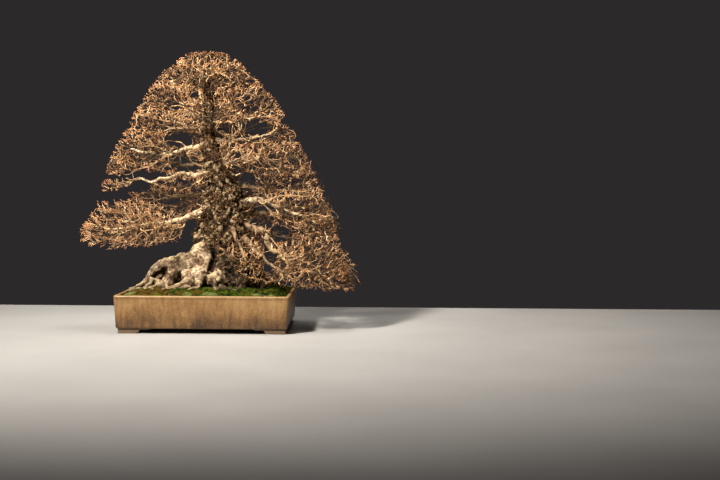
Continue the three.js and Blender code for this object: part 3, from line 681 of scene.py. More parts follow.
def sage_share(points):
    """How much of a point belongs to one of the small pale cushions: 1 at its middle, 0 outside."""
    depth = np.linalg.norm((points[..., None, :2] - SAGE[:, :2]) / SAGE[:, 2:], axis=-1).min(axis=-1)
    return np.sqrt(np.clip(1 - depth ** 2, 0, 1))


def moss_surface(patch, phases, flat, upright, angle):
    """A point of a cushion: an ellipse whose reach waves with the angle round it,
    lifted over the soil by the 0.6 power of how upright the point is, and swollen
    in clumps and where it is pale."""
    x, y, half_x, half_y = patch
    wave = 0.09 * np.cos(2 * angle + phases[0]) + 0.08 * np.cos(3 * angle + phases[1])
    wave = 1 + wave + 0.05 * np.cos(5 * angle + phases[2])
    place = [x + flat * np.cos(angle) * half_x * wave, y - flat * np.sin(angle) * half_y * wave]
    place = np.clip(np.stack(place, axis=-1), -CUSHION_REACH, CUSHION_REACH)
    rise = np.sign(upright) * np.abs(upright) ** 0.6
    points = np.concatenate([place, np.zeros_like(place[..., :1])], axis=-1)
    nearest, second = pebbles(points, 15, 60)
    clumps = np.minimum(1, (second - nearest) * 2.2) - 0.75 + 0.5 * cloud(points, 7, 61)
    points[..., 2] = soil_height(place[..., 0], place[..., 1]) + MOSS_THICKNESS * rise
    points[..., 2] += (CLUMP_RISE * clumps + SAGE_RISE * sage_share(points)) * np.maximum(0, rise)
    return points


def unit(vectors):
    """The vectors, each made one long."""
    return vectors / np.maximum(np.linalg.norm(vectors, axis=-1, keepdims=True), 1e-9)


def moss_dome(pile, patch, phases):
    """The cushion's dome as rings from below its edge up to its top."""
    upright = np.sin(np.linspace(-0.35, math.pi / 2, 21)[:-1])
    angle = np.linspace(0, -2 * math.pi, 108, endpoint=False)
    upright, angle = np.meshgrid(upright, angle, indexing="ij")
    rows = moss_surface(patch, phases, np.sqrt(1 - upright ** 2), upright, angle)
    top = moss_surface(patch, phases, np.zeros(1), np.ones(1), np.zeros(1))[0]
    tint = np.append(0.5 + 0.5 * cloud(rows, 11, 62), [0.5, 0.5])
    sage = np.append(sage_share(rows), [0, 0])
    pile.add(*closed(rows, rows[0].mean(axis=0) - [0, 0, 1], top), tip=0.0, tint=tint, sage=sage)


def moss_shoots(pile, patch, phases, draws):
    """Shoots all over the dome: cones with three sides that lean a little out and
    stand on evenly drawn places."""
    count = int(math.pi * patch[2] * patch[3] * MOSS_SHOOTS_PER_AREA)
    reach = np.sqrt(draws.uniform(0, 1, count))
    turn = draws.uniform(0, 2 * math.pi, count)
    seats = moss_surface(patch, phases, reach, np.sqrt(1 - reach ** 2), turn)
    size = draws.uniform(*MOSS_SHOOT_SIZES, count)[:, None, None]
    lean = np.stack([np.cos(turn) * reach, -np.sin(turn) * reach, np.ones(count)], axis=1)
    lean = unit(lean + draws.normal(0, 0.35, (count, 3)))
    corner = draws.uniform(0, 2 * math.pi, (count, 1)) + np.arange(3) * 2 * math.pi / 3
    ring = MOSS_SHOOT_GIRTH * np.stack([np.cos(corner), np.sin(corner), np.full_like(corner, -1)], axis=-1)
    cones = seats[:, None] + np.concatenate([ring, lean[:, None]], axis=1) * size
    cones[..., :2] = np.clip(cones[..., :2], -MOSS_SHOOT_REACH, MOSS_SHOOT_REACH)
    faces = np.array([[0, 1, 3], [1, 2, 3], [2, 0, 3], [2, 1, 0]])
    tip = np.tile([0.2, 0.2, 0.2, 1.0], count)
    tint = np.clip(0.5 + 0.5 * cloud(seats, 11, 62) + draws.normal(0, 0.16, count), 0, 1)
    sage = np.repeat(sage_share(seats), 4)
    pile.add(cones, [copies(faces, 4, count)], tip=tip, tint=np.repeat(tint, 4), sage=sage)


def living_moss(name, deep_and_shaded, fresh, pale, dry):
    """Green that is dark between the clumps and on the dome, partly the moss's own
    darker base and partly painted shade, and fresh on the shoots' tips, with
    pale and dry patches, and the small pale cushions in grey-green."""
    finish = Finish(name, Specular_IOR_Level=0.08)
    tint = finish.carried("tint")
    tip = finish.carried("tip")
    clump = finish.noise(0.009, 4.0, start=3.0).above(0.44, 0.58)
    patches = finish.noise(0.045, 3.0, start=7.0)
    sage = finish.ramp(tip * 0.6 + tint * 0.4, (0.0, shade(50, 56, 24)), (0.8, shade(126, 130, 74)))
    colour = finish.layers(
        # The first colour, nearly without light in the green moss, shows between the clumps and on the
        # dome: partly the moss's darker base, partly painted shade.
        finish.mix(tint * 0.2 + tip * 0.2 + clump * 0.6, deep_and_shaded, fresh),
        (patches.above(0.56, 0.68) * 0.75, pale),
        ((1 - patches.above(0.3, 0.44)) * 0.8, dry),
        (finish.carried("sage").above(0.15, 0.5), sage),
    )
    return finish.dress(colour, 0.9, finish.noise(0.0013, 2.0), 0.0006)


greens = {
    "moss_green": (shade(6, 9, 1), shade(62, 78, 6), shade(88, 82, 26), shade(72, 56, 13)),
    "moss_olive": (shade(34, 25, 8), shade(92, 72, 20), shade(62, 80, 16), shade(92, 58, 24)),
}
mosses = {name: living_moss(name, *colours) for name, colours in greens.items()}
for k, (name, patch) in enumerate(MOSS.items()):
    turn_draws = Draws(40 + k)
    phases = [2 * math.pi * turn_draws() for _ in range(3)]
    cushion = Pile()
    moss_dome(cushion, patch, phases)
    moss_shoots(cushion, patch, phases, np.random.default_rng(70 + k))
    green = "moss_olive" if name in OLIVE else "moss_green"
    show(name + "_cushion", cushion.mesh(name + "_cushion"), mosses[green], [name])

# Trunk and surface roots
# One living body of wood: a fluted trunk on a wide foot of roots that dive into
# the soil. The great pale root on the left arches over a hollow on two legs.
# Stations along each line give x, y, z and the wood's radius there.
TRUNK = [
    [54, -2, 72, 80], [54, -2, 108, 76], [50, 0, 165, 64], [41, 0, 238, 61], [38, 0, 290, 55],
    [39, 0, 338, 44], [30, 2, 376, 33], [12, 3, 408, 26], [3, 2, 444, 22], [-1, 0, 484, 18],
    [-4, -2, 524, 14], [-2, 0, 564, 12], [-6, 2, 604, 10], [-10, 1, 644, 7], [-8, 0, 688, 3],
]
ROOTS = [
    [[40, -14, 205, 48], [0, -26, 180, 42], [-35, -36, 165, 37], [-66, -42, 158, 30], [-90, -45, 158, 22],
     [-108, -48, 161, 16], [-123, -51, 155, 11], [-134, -53, 145, 9], [-143, -55, 133, 8],
     [-153, -57, 117, 8.5], [-164, -60, 90, 8]],
    [[-62, -44, 158, 24], [-80, -54, 142, 19], [-92, -60, 126, 15], [-98, -66, 108, 14],
     [-102, -72, 84, 12]],
    [[-5, -40, 160, 36], [-16, -66, 140, 27], [-30, -80, 122, 20], [-52, -88, 111, 14], [-80, -94, 105, 9],
     [-112, -96, 90, 6]],
    [[-146, -54, 118, 8], [-158, -48, 110, 7], [-172, -46, 105, 6], [-188, -44, 88, 4]],
    [[44, -40, 165, 36], [42, -64, 136, 28], [34, -82, 112, 20], [26, -96, 86, 14]],
    [[78, -36, 170, 26], [104, -48, 158, 16], [122, -58, 146, 10], [134, -64, 126, 8], [146, -70, 106, 7],
     [156, -74, 86, 6]],
    [[72, -44, 160, 28], [82, -70, 132, 20], [88, -88, 108, 14], [92, -102, 84, 10]],
    [[76, 26, 170, 34], [108, 54, 136, 20], [136, 76, 114, 12], [164, 94, 82, 8]],
    [[30, 36, 175, 36], [10, 74, 140, 21], [-12, 100, 114, 12], [-34, 122, 80, 8]],
    [[10, 22, 178, 34], [-42, 48, 146, 22], [-80, 68, 120, 14], [-114, 84, 84, 9]],
]
PALE_BURL = [26, -90, 126, 24]
BURLS = [
    [28, -86, 124, 23], [-6, -70, 146, 22], [-44, -70, 136, 20], [62, -76, 126, 20], [-18, -8, 228, 27],
    [-8, -10, 262, 22], [66, -74, 118, 22], [100, -64, 114, 20], [84, -62, 142, 24], PALE_BURL,
]
KNOBS = 15
KNOB_RINGS = (4, 15)
KNOB_SHARE = 0.34
KNOB_SEAT = 0.86
CREEPERS = [
    [[-88, -34, 150, 18], [-112, -34, 138, 17], [-132, -38, 122, 15], [-150, -42, 106, 12],
     [-166, -44, 94, 8]],
    [[-136, -60, 126, 9], [-140, -72, 112, 8], [-150, -84, 105, 6], [-146, -98, 102, 4.6],
     [-158, -108, 99, 3.4]],
    [[-118, -60, 118, 9], [-122, -76, 110, 7], [-132, -90, 105, 5.4], [-126, -104, 103, 4.2],
     [-134, -118, 98, 3]],
    [[-98, -64, 120, 8], [-116, -78, 108, 5], [-134, -81, 107, 4], [-152, -86, 104, 4],
     [-170, -84, 103, 3.4], [-188, -90, 97, 3]],
    [[-140, -54, 128, 8], [-158, -64, 112, 5], [-172, -66, 106, 4], [-186, -72, 101, 3.4],
     [-196, -70, 95, 3]],
    [[-100, -68, 116, 8], [-92, -88, 107, 5], [-72, -98, 107, 4.4], [-52, -106, 108, 4],
     [-34, -104, 110, 4]],
    [[-48, -86, 116, 10], [-64, -100, 107, 6], [-84, -106, 105, 4.6], [-102, -112, 103, 4],
     [-122, -112, 98, 3]],
    [[-20, -84, 122, 12], [-12, -104, 111, 7], [-26, -116, 106, 5], [-44, -120, 103, 3.6]],
    [[40, -96, 110, 9], [54, -112, 106, 5], [74, -116, 104, 4], [88, -124, 99, 3]],
]
CREEPER_SWAY = 3.2
CREVICE_DEPTH = 9
TRUNK_VOXEL = 0.0024


def smooth_line(stations, steps):
    """Points at even steps along the centripetal curve through the stations: a
    cubic between each two, whose end slopes weigh the neighbouring chords by the
    square roots of their lengths. Further columns follow in straight lines."""
    stations = np.asarray(stations, float)
    line = stations[:, :3]
    line = np.vstack([2 * line[0] - line[1], line, 2 * line[-1] - line[-2]])
    place = np.arange(steps + 1) / steps * (len(stations) - 1)
    before = np.minimum(place.astype(int), len(stations) - 2)
    part = (place - before)[:, None]
    p0, p1, p2, p3 = (line[before + k] for k in range(4))
    d0, d1, d2 = (
        np.sqrt(np.linalg.norm(b - a, axis=1, keepdims=True)) for a, b in ((p0, p1), (p1, p2), (p2, p3))
    )
    slope_1 = ((p1 - p0) / d0 - (p2 - p0) / (d0 + d1) + (p2 - p1) / d1) * d1
    slope_2 = ((p2 - p1) / d1 - (p3 - p1) / (d1 + d2) + (p3 - p2) / d2) * d1
    square = 3 * (p2 - p1) - 2 * slope_1 - slope_2
    cube = 2 * (p1 - p2) + slope_1 + slope_2
    points = p1 + slope_1 * part + square * part ** 2 + cube * part ** 3
    others = (1 - part) * stations[before, 3:] + part * stations[before + 1, 3:]
    return points, others


def square_to(ways):
    """A way square to each way: level, or square to the x axis where the way stands upright."""
    is_flat = np.abs(ways[:, 2:]) < 0.9
    return unit(np.cross(np.where(is_flat, [0.0, 0, 1], [1.0, 0, 0]), ways))


def rods(points, radii, sides, pointed=False, swell=1.0):
    """Many bent rods at once, from arrays of rods by rings: each ring's point is
    the line's, plus the radius times the sine of its angle across and the cosine
    of it along the other way. The two ways turn with the line as little as they can."""
    count, rings = points.shape[:2]
    ahead = np.concatenate([points[:, 1:], points[:, -1:]], axis=1)
    behind = np.concatenate([points[:, :1], points[:, :-1]], axis=1)
    along = unit(ahead - behind)
    across = square_to(along[:, 0])
    ways = [across]
    for ring in range(1, rings):
        across = unit(across - along[:, ring] * np.sum(across * along[:, ring], axis=1, keepdims=True))
        ways.append(across)
    ways = np.stack(ways, axis=1)[:, :, None]
    other = np.cross(ways, along[:, :, None])
    corner = np.arange(sides)
    angles = corner[:, None] * 2 * math.pi / sides
    reach = (radii[..., None] * swell)[..., None]
    skin = points[:, :, None] + reach * (ways * np.sin(angles) + other * np.cos(angles))
    open_rings = rings - 1 if pointed else rings
    skin = skin[:, :open_rings].reshape(count, -1, 3)
    last = (open_rings - 1) * sides
    faces = [band(open_rings, sides), corner[None, ::-1]]
    if pointed:
        skin = np.concatenate([skin, points[:, -1:]], axis=1)
        faces.append(fan(last, sides, last + sides, True))
    else:
        faces.append(last + corner[None])
    return skin, [copies(group, skin.shape[1], count) for group in faces]


def add_trunk(pile):
    """The trunk's rings swell with three, five and eight flutes that lean round it
    as they rise and grow shallow with the cube of the height left above them."""
    steps, sides = 90, 48
    points, radii = smooth_line(TRUNK, steps)
    angle = np.arange(sides) * 2 * math.pi / sides
    height = np.linspace(0, 1, steps + 1)[:, None]
    depth = 0.05 + 0.13 * (1 - height) ** 3
    flutes = np.cos(3 * angle + 1.6 * height) + 0.6 * np.cos(5 * angle - 3.2 * height + 1)
    flutes += 0.35 * np.cos(8 * angle + 6.4 * height)
    pile.add(*rods(points[None], radii[None, :, 0], sides, swell=1 + depth * flutes))


def add_roots(pile):
    """Each root's rings swell gently twice round, and its girth comes and goes along it."""
    sides = 20
    angle = np.arange(sides) * 2 * math.pi / sides
    for k, root in enumerate(ROOTS):
        coarse = round(1.25 * (len(root) - 1))
        steps = 8 * coarse
        points, radii = smooth_line(root, steps)
        ring = np.linspace(0, coarse, steps + 1)[:, None]
        swell = 1 + 0.1 * np.sin(2 * angle + 1.7 * ring + k) + 0.06 * np.sin(4.1 * ring)
        pile.add(*rods(points[None], radii[None, :, 0], sides, swell=swell))


def add_creepers(pile):
    """Thin roots that wind over the moss: their line sways from side to side and a
    little up and down, and their girth swells by up to a quarter."""
    for k, creeper in enumerate(CREEPERS):
        points, radii = smooth_line(creeper, 12 * (len(creeper) - 1))
        level = [cloud(points, 15, 50 + k), cloud(points, 15, 60 + k)]
        sway = np.stack([*level, 0.4 * cloud(points, 9, 70)], axis=1)
        swell = 1 + 0.25 * cloud(points, 8, 75)[:, None]
        pile.add(*rods((points + CREEPER_SWAY * sway)[None], radii[None, :, 0], 10, swell=swell))


def add_burls(pile):
    """Each burl is a ball, a little wider than it is high. Smaller knobs are drawn
    round some of the trunk's rings, with a share of their girth, and are higher than wide."""
    ball, faces = icosahedron()
    for x, y, z, radius in BURLS:
        pile.add(ball * radius * [1.05, 1, 0.92] + [x, y, z], [faces])
    draw = Draws(7)
    spine, girths = smooth_line(TRUNK, 20)
    low, high = KNOB_RINGS
    for _ in range(KNOBS):
        ring = low + int((high - low) * draw())
        angle = 2 * math.pi * draw()
        radius = KNOB_SHARE * girths[ring, 0] * (0.7 + 0.6 * draw())
        out = np.array([math.cos(angle), math.sin(angle), 0])
        pile.add(ball * radius * [1, 1, 1.3] + spine[ring] + KNOB_SEAT * girths[ring, 0] * out, [faces])


def mesh_points(mesh, kind="co", domain="vertices"):
    """A mesh's places, or another of its lists of vectors, as an array."""
    flat = np.zeros(len(getattr(mesh, domain)) * 3, np.float32)
    getattr(mesh, domain).foreach_get(kind, flat)
    return flat.reshape(-1, 3).astype(float)


def neighbours_mean(values, edges, count):
    """The mean of each point's neighbours along the mesh's edges."""
    total = np.zeros_like(values)
    for near, far in (edges.T, edges.T[::-1]):
        for axis in range(values.shape[1]):
            total[:, axis] += np.bincount(near, values[far, axis], len(values))
    return total / count[:, None]


def step_up(value, low, high):
    """0 below the low value and 1 above the high one, with a smooth rise between."""
    part = np.clip((value - low) / (high - low), 0, 1)
    return part * part * (3 - 2 * part)


def bark_relief(place, rough):
    """How far the bark stands out: slow lumps everywhere; wrinkles, gnarls and a few
    cracks on the smooth roots; knobs, warts and fissures on the rough old trunk. Cracks
    and fissures lie where noise passes through zero."""
    wrinkles = cloud(place * [1, 1, 0.4], 9, 5)
    wide = 1 - np.exp(-np.abs(cloud(place * [1, 1, 0.85], 18, 8)) / 0.16)
    narrow = 1 - np.exp(-np.abs(cloud(place, 8, 9)) / 0.2)
    knob, wart, gnarl = (pebbles(place, size, seed)[0] for size, seed in ((22, 14), (10, 15), (13, 19)))
    knobs = np.maximum(0, 0.62 - knob) ** 1.3 * 13 + np.maximum(0, 0.6 - wart) ** 1.2 * 4
    lumps = (0.5 + 0.5 * rough) * (2.8 * cloud(place, 34, 1) + 2.0 * cloud(place, 15, 2))
    cracks = np.exp(-np.abs(cloud(place * [0.6, 1, 1], 20, 16)) / 0.07)
    cracks *= step_up(cloud(place, 30, 18), 0.05, 0.4)
    gnarls = np.maximum(0, 0.6 - gnarl) * 1.6 * step_up(cloud(place, 40, 20), -0.2, 0.3)
    smooth_bark = 1.2 * wrinkles + 1.1 * cloud(place, 5.5, 6) + 0.7 * cloud(place, 9, 17)
    smooth_bark += gnarls - 0.9 * cracks
    rough_bark = 2.4 * wide + 1.7 * narrow - 3 + knobs
    rough_bark += 1.8 * cloud(place, 11, 7) + 1.2 * cloud(place, 5, 10)
    return lumps + (1 - rough) * smooth_bark + rough * rough_bark


def bark_roughness(place):
    """1 where the bark is old, high on the trunk and round its right foot, and 0 on the
    pale roots and the pale burl; and how much of it belongs to the right foot, which is
    painted dark, partly as its own dark bark and partly as painted shade."""
    x, _, z = place.T
    waver = 14 * cloud(place, 40, 30) + 6 * cloud(place, 12, 31)
    old = step_up(z + 0.45 * x + waver, 198, 226)
    is_burl = 1 - step_up(np.linalg.norm(place - PALE_BURL[:3], axis=1), 22, 30)
    crusted = step_up(x + 0.25 * (z - 150) + waver, 8, 28) * step_up(z, 84, 98) * (1 - is_burl)
    return np.maximum(old, crusted), crusted


def carve_trunk(mesh):
    """Moves the remeshed skin out and in by the bark's relief, cuts the crevice at
    the front, and keeps for the material how rough it is, how much of it is the dark
    right foot, darkened partly by painted shade, and a painted shading: high in the
    hollows, in the crevice and on faces turned down, low on crests and faces turned up."""
    place = (mesh_points(mesh) - POT_MIDDLE) * 1000
    normal = unit(mesh_points(mesh, "vector", "vertex_normals"))
    edges = np.zeros(len(mesh.edges) * 2, np.int32)
    mesh.edges.foreach_get("vertices", edges)
    edges = edges.reshape(-1, 2)
    count = np.maximum(1, np.bincount(edges.ravel(), minlength=len(place)))
    x, y, z = place.T
    rough, black = bark_roughness(place)
    black *= 1 - step_up(z, 196, 240)
    line = 16 + 5 * np.sin(z / 13) - 0.05 * (z - 160)
    crevice = np.exp(-((x - line) / 6) ** 2) * step_up(-y, 8, 26) * step_up(z, 142, 154)
    crevice *= 1 - step_up(z, 196, 216)
    relief = bark_relief(place, rough) - CREVICE_DEPTH * crevice
    fade = np.minimum(1, step_up(z, 74, 96) * (0.35 + 0.65 * (1 - step_up(z, 430, 520))))
    moved = place + normal * (relief * fade)[:, None]
    spread = moved.copy()
    for _ in range(6):
        spread = neighbours_mean(spread, edges, count)
    hollow = np.sum((spread - moved) * normal, axis=1)
    mesh.vertices.foreach_set("co", (moved / 1000 + POT_MIDDLE).ravel())
    # Painted shading: high in hollows, in the crevice and on faces turned down (painted shade), low on
    # crests and faces turned up (painted highlight).
    hollow = 0.5 + (0.19 + 0.12 * rough) * hollow + 0.5 * crevice - (0.3 - 0.16 * rough) * normal[:, 2]
    values = {"rough": rough, "black": black, "hollow": np.clip(hollow, 0, 1)}
    for name, value in values.items():
        mesh.attributes.new(name, "FLOAT", "POINT").data.foreach_set("value", value.astype(np.float32))
    mesh.update()
    return mesh


def bark():
    """Pale beige skin mottled with brown and cream on the roots, stained by the soil
    low down; dark, flaky and a little green above, blackest at the trunk's right foot,
    partly its own dark bark and partly painted shade; painted shade, almost without
    light, in the hollows, in the crevice and on faces turned down, and a painted
    highlight of pale cream on crests and faces turned up, which are a little glossier."""
    finish = Finish("hornbeam_bark", Specular_IOR_Level=0.1)
    rough = finish.carried("rough")
    smooth = 1 - rough
    hollow = finish.carried("hollow")
    black = finish.carried("black")
    mottle = finish.noise(0.022, 4.0, start=3.0)
    streaks = finish.noise(0.006, 4.0, (1, 1, 1.6), 8.0)
    fine = finish.noise(0.0024, 3.0)
    pale = finish.ramp(
        mottle * 0.4 + streaks * 0.35 + fine * 0.25,
        (0.40, shade(44, 31, 22)),
        (0.47, shade(94, 75, 57)),
        (0.54, shade(146, 124, 98)),
        (0.62, shade(206, 190, 162)),
    )
    dark = finish.ramp(
        mottle * 0.25 + streaks * 0.4 + fine * 0.35,
        (0.44, shade(6, 4, 2)),
        (0.50, shade(22, 13, 6)),
        (0.56, shade(54, 34, 16)),
        (0.63, shade(158, 120, 72)),
    )
    patches = finish.noise(0.010, 4.0, start=15.0).above(0.52, 0.60)
    algae = finish.noise(0.03, 3.0, start=22.0).above(0.5, 0.66)
    crumbs = finish.noise(0.0042, 2.0, start=52.0).above(0.56, 0.62)
    painted_crest_highlight = 1 - hollow.above(0.14, 0.34)
    specks = finish.noise(0.0036, 3.0, start=40.0).above(0.54, 0.60)
    freckles = finish.noise(0.0075, 3.0, start=61.0).above(0.53, 0.6)
    splashes = 1 - (finish.height() + (mottle - 0.5) * 0.06).above(0.098, 0.148)
    colour = finish.layers(
        finish.mix(rough, pale, dark),
        (patches * smooth * 0.5, shade(92, 70, 50)),
        (algae * rough * 0.2, shade(56, 48, 20)),
        # Dark right foot: partly its own dark bark, partly painted shade.
        (black * 0.78, shade(16, 10, 5)),
        (crumbs * rough * (0.4 - black * 0.2), shade(190, 148, 98)),
        # Painted shade where the shading is high, and a painted highlight on crests and faces turned up.
        (hollow.above(0.5, 0.68) * 0.95, shade(15, 9, 5)),
        (painted_crest_highlight * (0.66 - rough * 0.36 - black * 0.24), shade(216, 192, 152)),
        (specks * 0.55, shade(50, 36, 24)),
        (freckles * smooth * 0.45, shade(104, 76, 54)),
        (splashes * smooth * 0.62, shade(58, 43, 20)),
    )
    relief = streaks * 0.4 + fine * 0.3 + finish.cells(0.0034, stretch=(1, 1, 1.3)) * 0.35
    return finish.dress(colour, 0.85 - painted_crest_highlight * 0.15, relief, 0.0016)


trunk = Pile()
add_trunk(trunk)
add_roots(trunk)
add_creepers(trunk)
add_burls(trunk)
skin = {"mode": "VOXEL", "voxel_size": TRUNK_VOXEL}
relax = {"factor": 0.5, "iterations": 7}
blended = settled("trunk", trunk.mesh("trunk"), ("REMESH", skin), ("SMOOTH", relax))
show("trunk_and_roots", carve_trunk(blended), bark(), ["trunk"])

# Sprays
# Each main branch with all that it carries: pale smooth limbs that fork again
# and again into fine winter twigs, and pointed buds along the last shoots. Its
# wood is given by stations, and its cushions of twigs by ellipsoids.
BRANCHES = {
    "spray_left_low": (
        [[30, -8, 316, 11], [4, -22, 306, 9.5], [-22, -34, 293, 8.5], [-52, -40, 281, 7.5],
         [-100, -42, 264, 6], [-150, -38, 256, 4.5], [-205, -32, 250, 3], [-250, -28, 246, 2]],
        [[-206, -30, 246, 146, 92, 72, 46], [-75, -55, 246, 20, 18, 16, 22],
         [-150, -112, 244, 74, 52, 44, 32]],
    ),
    "spray_left_low_back": (
        [[30, 30, 345, 9], [2, 52, 338, 7], [-50, 72, 334, 5.5], [-100, 88, 326, 4],
         [-150, 98, 318, 2.5]],
        [[-135, 100, 318, 104, 74, 38, 34]],
    ),
    "spray_left_bare": (
        [[10, -14, 392, 7], [-12, -22, 391, 6], [-42, -28, 384, 5], [-68, -30, 391, 4.2],
         [-93, -30, 381, 3.4], [-144, -28, 367, 2.8], [-175, -27, 374, 2.4], [-201, -26, 364, 2],
         [-225, -25, 352, 1.5], [-246, -24, 346, 1.2]],
        [[-245, -24, 353, 34, 26, 14, 12], [-72, -28, 366, 70, 36, 22, 24]],
    ),
    "spray_left_middle": (
        [[0, -6, 462, 8], [-20, -16, 458, 7], [-43, -22, 448, 6.3], [-63, -24, 441, 5.6],
         [-104, -26, 439, 4.6], [-150, -26, 441, 3.2], [-195, -24, 446, 2.2]],
        [[-170, -24, 440, 108, 74, 60, 48], [-226, -24, 406, 60, 50, 34, 24]],
    ),
    "spray_left_middle_back": (
        [[4, 10, 412, 7], [-24, 34, 412, 5.5], [-70, 62, 414, 4.2], [-118, 84, 420, 2.8]],
        [[-120, 88, 428, 95, 64, 46, 36]],
    ),
    "spray_left_upper": (
        [[-3, -6, 502, 6], [-24, -14, 503, 5], [-69, -20, 501, 4], [-105, -22, 494, 3],
         [-156, -22, 493, 2]],
        [[-142, -24, 508, 94, 66, 38, 26]],
    ),
    "spray_left_high": (
        [[-3, -2, 528, 5.5], [-20, -4, 530, 4.6], [-67, -6, 540, 3.6], [-110, -8, 556, 2.5]],
        [[-106, -6, 566, 106, 72, 48, 44]],
    ),
    "spray_right_low": (
        [[70, -16, 268, 13], [100, -26, 256, 10.5], [128, -32, 249, 9], [150, -35, 238, 8],
         [155, -37, 206, 7], [194, -40, 177, 5.5], [236, -42, 152, 4], [280, -42, 140, 2.5]],
        [[266, -40, 144, 144, 96, 86, 38], [322, -40, 124, 100, 66, 36, 26]],
    ),
    "spray_right_low_front": (
        [[86, -34, 234, 7.5], [104, -62, 218, 6], [130, -90, 194, 4.6], [160, -112, 168, 3.4],
         [190, -124, 150, 2.4]],
        [[168, -118, 158, 80, 48, 48, 40]],
    ),
    "spray_right_low_back": (
        [[72, 24, 255, 9], [98, 52, 250, 7], [140, 86, 238, 5], [185, 108, 222, 3.4],
         [225, 118, 210, 2.2]],
        [[200, 112, 206, 106, 64, 50, 52]],
    ),
    "spray_right_lower_middle": (
        [[84, 20, 292, 9], [112, 34, 290, 7.5], [160, 56, 287, 5.5], [210, 70, 282, 3.8],
         [250, 76, 278, 2.5]],
        [[240, 66, 268, 114, 76, 48, 46]],
    ),
    "spray_right_middle": (
        [[66, -14, 316, 10], [92, -24, 318, 8.5], [142, -27, 322, 7], [173, -28, 308, 5],
         [219, -30, 293, 3.2]],
        [[240, -34, 304, 104, 78, 50, 46], [286, -30, 254, 76, 60, 36, 34]],
    ),
    "spray_right_middle_back": (
        [[60, 12, 352, 8], [90, 24, 353, 6.5], [131, 36, 353, 5], [192, 44, 351, 3.5],
         [225, 46, 350, 2.4]],
        [[214, 40, 364, 106, 78, 48, 40]],
    ),
    "spray_right_upper": (
        [[18, -8, 410, 8], [40, -18, 413, 6.6], [75, -24, 416, 5.4], [120, -26, 424, 4],
         [180, -26, 416, 2.6]],
        [[182, -28, 416, 110, 80, 54, 38]],
    ),
    "spray_right_high": (
        [[2, -4, 472, 7], [24, -8, 472, 5.8], [74, -12, 473, 4.6], [120, -12, 482, 3.2],
         [160, -12, 490, 2.2]],
        [[140, -12, 488, 106, 78, 54, 42]],
    ),
    "spray_right_top": (
        [[-3, 0, 520, 6], [16, 0, 524, 5], [53, 0, 538, 4], [80, 0, 532, 3.2], [120, 0, 536, 2.2]],
        [[104, -2, 556, 100, 72, 54, 44]],
    ),
    "spray_front_hanging": (
        [[58, -34, 248, 6], [64, -60, 242, 5], [74, -82, 230, 4], [86, -98, 210, 3], [96, -106, 188, 2]],
        [[78, -104, 192, 58, 30, 36, 42]],
    ),
    "spray_front_middle": (
        [[22, -12, 398, 5], [26, -34, 404, 4], [34, -62, 412, 3], [44, -86, 420, 2]],
        [[52, -98, 424, 66, 42, 40, 24]],
    ),
    "spray_front_high": (
        [[-2, -6, 492, 5], [2, -24, 500, 4], [8, -52, 512, 3], [12, -80, 522, 2]],
        [[8, -84, 536, 76, 44, 46, 30]],
    ),
    "spray_front_top": (
        [[-4, -2, 580, 4], [-4, -18, 590, 3.2], [-4, -42, 604, 2.4], [-4, -60, 614, 1.8]],
        [[-8, -58, 618, 84, 44, 46, 40]],
    ),
    "spray_back_low": (
        [[44, 20, 300, 10], [40, 52, 302, 8], [30, 92, 300, 6], [16, 136, 296, 4.4], [4, 176, 292, 2.8]],
        [[14, 168, 300, 128, 68, 50, 44]],
    ),
    "spray_back_middle": (
        [[24, 12, 384, 7], [20, 34, 388, 5.6], [12, 72, 396, 4.2], [4, 112, 402, 2.8]],
        [[8, 112, 408, 114, 64, 48, 40]],
    ),
    "spray_back_high": (
        [[-2, 6, 486, 5.4], [-2, 24, 492, 4.4], [-4, 56, 502, 3.2], [-6, 84, 512, 2]],
        [[-2, 84, 512, 110, 58, 50, 42]],
    ),
    "spray_back_top": (
        [[-4, 4, 572, 4], [-4, 18, 580, 3.2], [-6, 40, 594, 2.4], [-8, 62, 606, 1.8]],
        [[-6, 60, 606, 90, 50, 46, 40]],
    ),
    "spray_top_left": (
        [[-7, 0, 618, 3.6], [-22, -2, 626, 3], [-50, -2, 636, 2.4], [-80, -2, 646, 1.6]],
        [[-70, -2, 632, 84, 64, 44, 42]],
    ),
    "spray_top_right": (
        [[-9, 0, 632, 3.4], [8, 0, 638, 2.8], [34, -2, 644, 2.2], [62, -2, 650, 1.5]],
        [[52, -2, 626, 86, 66, 52, 42]],
    ),
    "spray_apex": (
        [[-9, 0, 652, 3], [-6, -9, 662, 2.4], [-8, -14, 680, 1.6]],
        [[-8, 4, 674, 90, 62, 34, 32]],
    ),
}
CROWN = np.array([
    [70, -331, 397], [116, -331, 395], [165, -331, 384], [201, -331, 363], [241, -331, 338],
    [264, -316, 331], [303, -288, 320], [345, -277, 306], [396, -262, 274], [455, -241, 240],
    [488, -221, 218], [525, -201, 198], [561, -182, 176], [605, -152, 142], [649, -120, 97],
    [676, -84, 70], [701, -42, 30], [712, -20, 8],
], float)
CROWN_MIDDLE = 18
CROWN_DEPTH = 0.5
CROWN_LEAST_DEPTH = 24
CROWN_TOP = 708
ALL_PADS = np.array([pad for _, pads in BRANCHES.values() for pad in pads], float)
PAD_OWNERS = np.array([k for k, (_, pads) in enumerate(BRANCHES.values()) for _ in pads])
TRUNK_OWNER = -2
TWIG_OWNER = -1
FIRST_FORK = 2
TWIG_RADIUS = 0.85
TWIG_THICKENING = 0.4
TWIG_SPACE = 3.2
TWIG_AREA = 1690
CAMERA_PLACE = (380.6, -2960, 350)
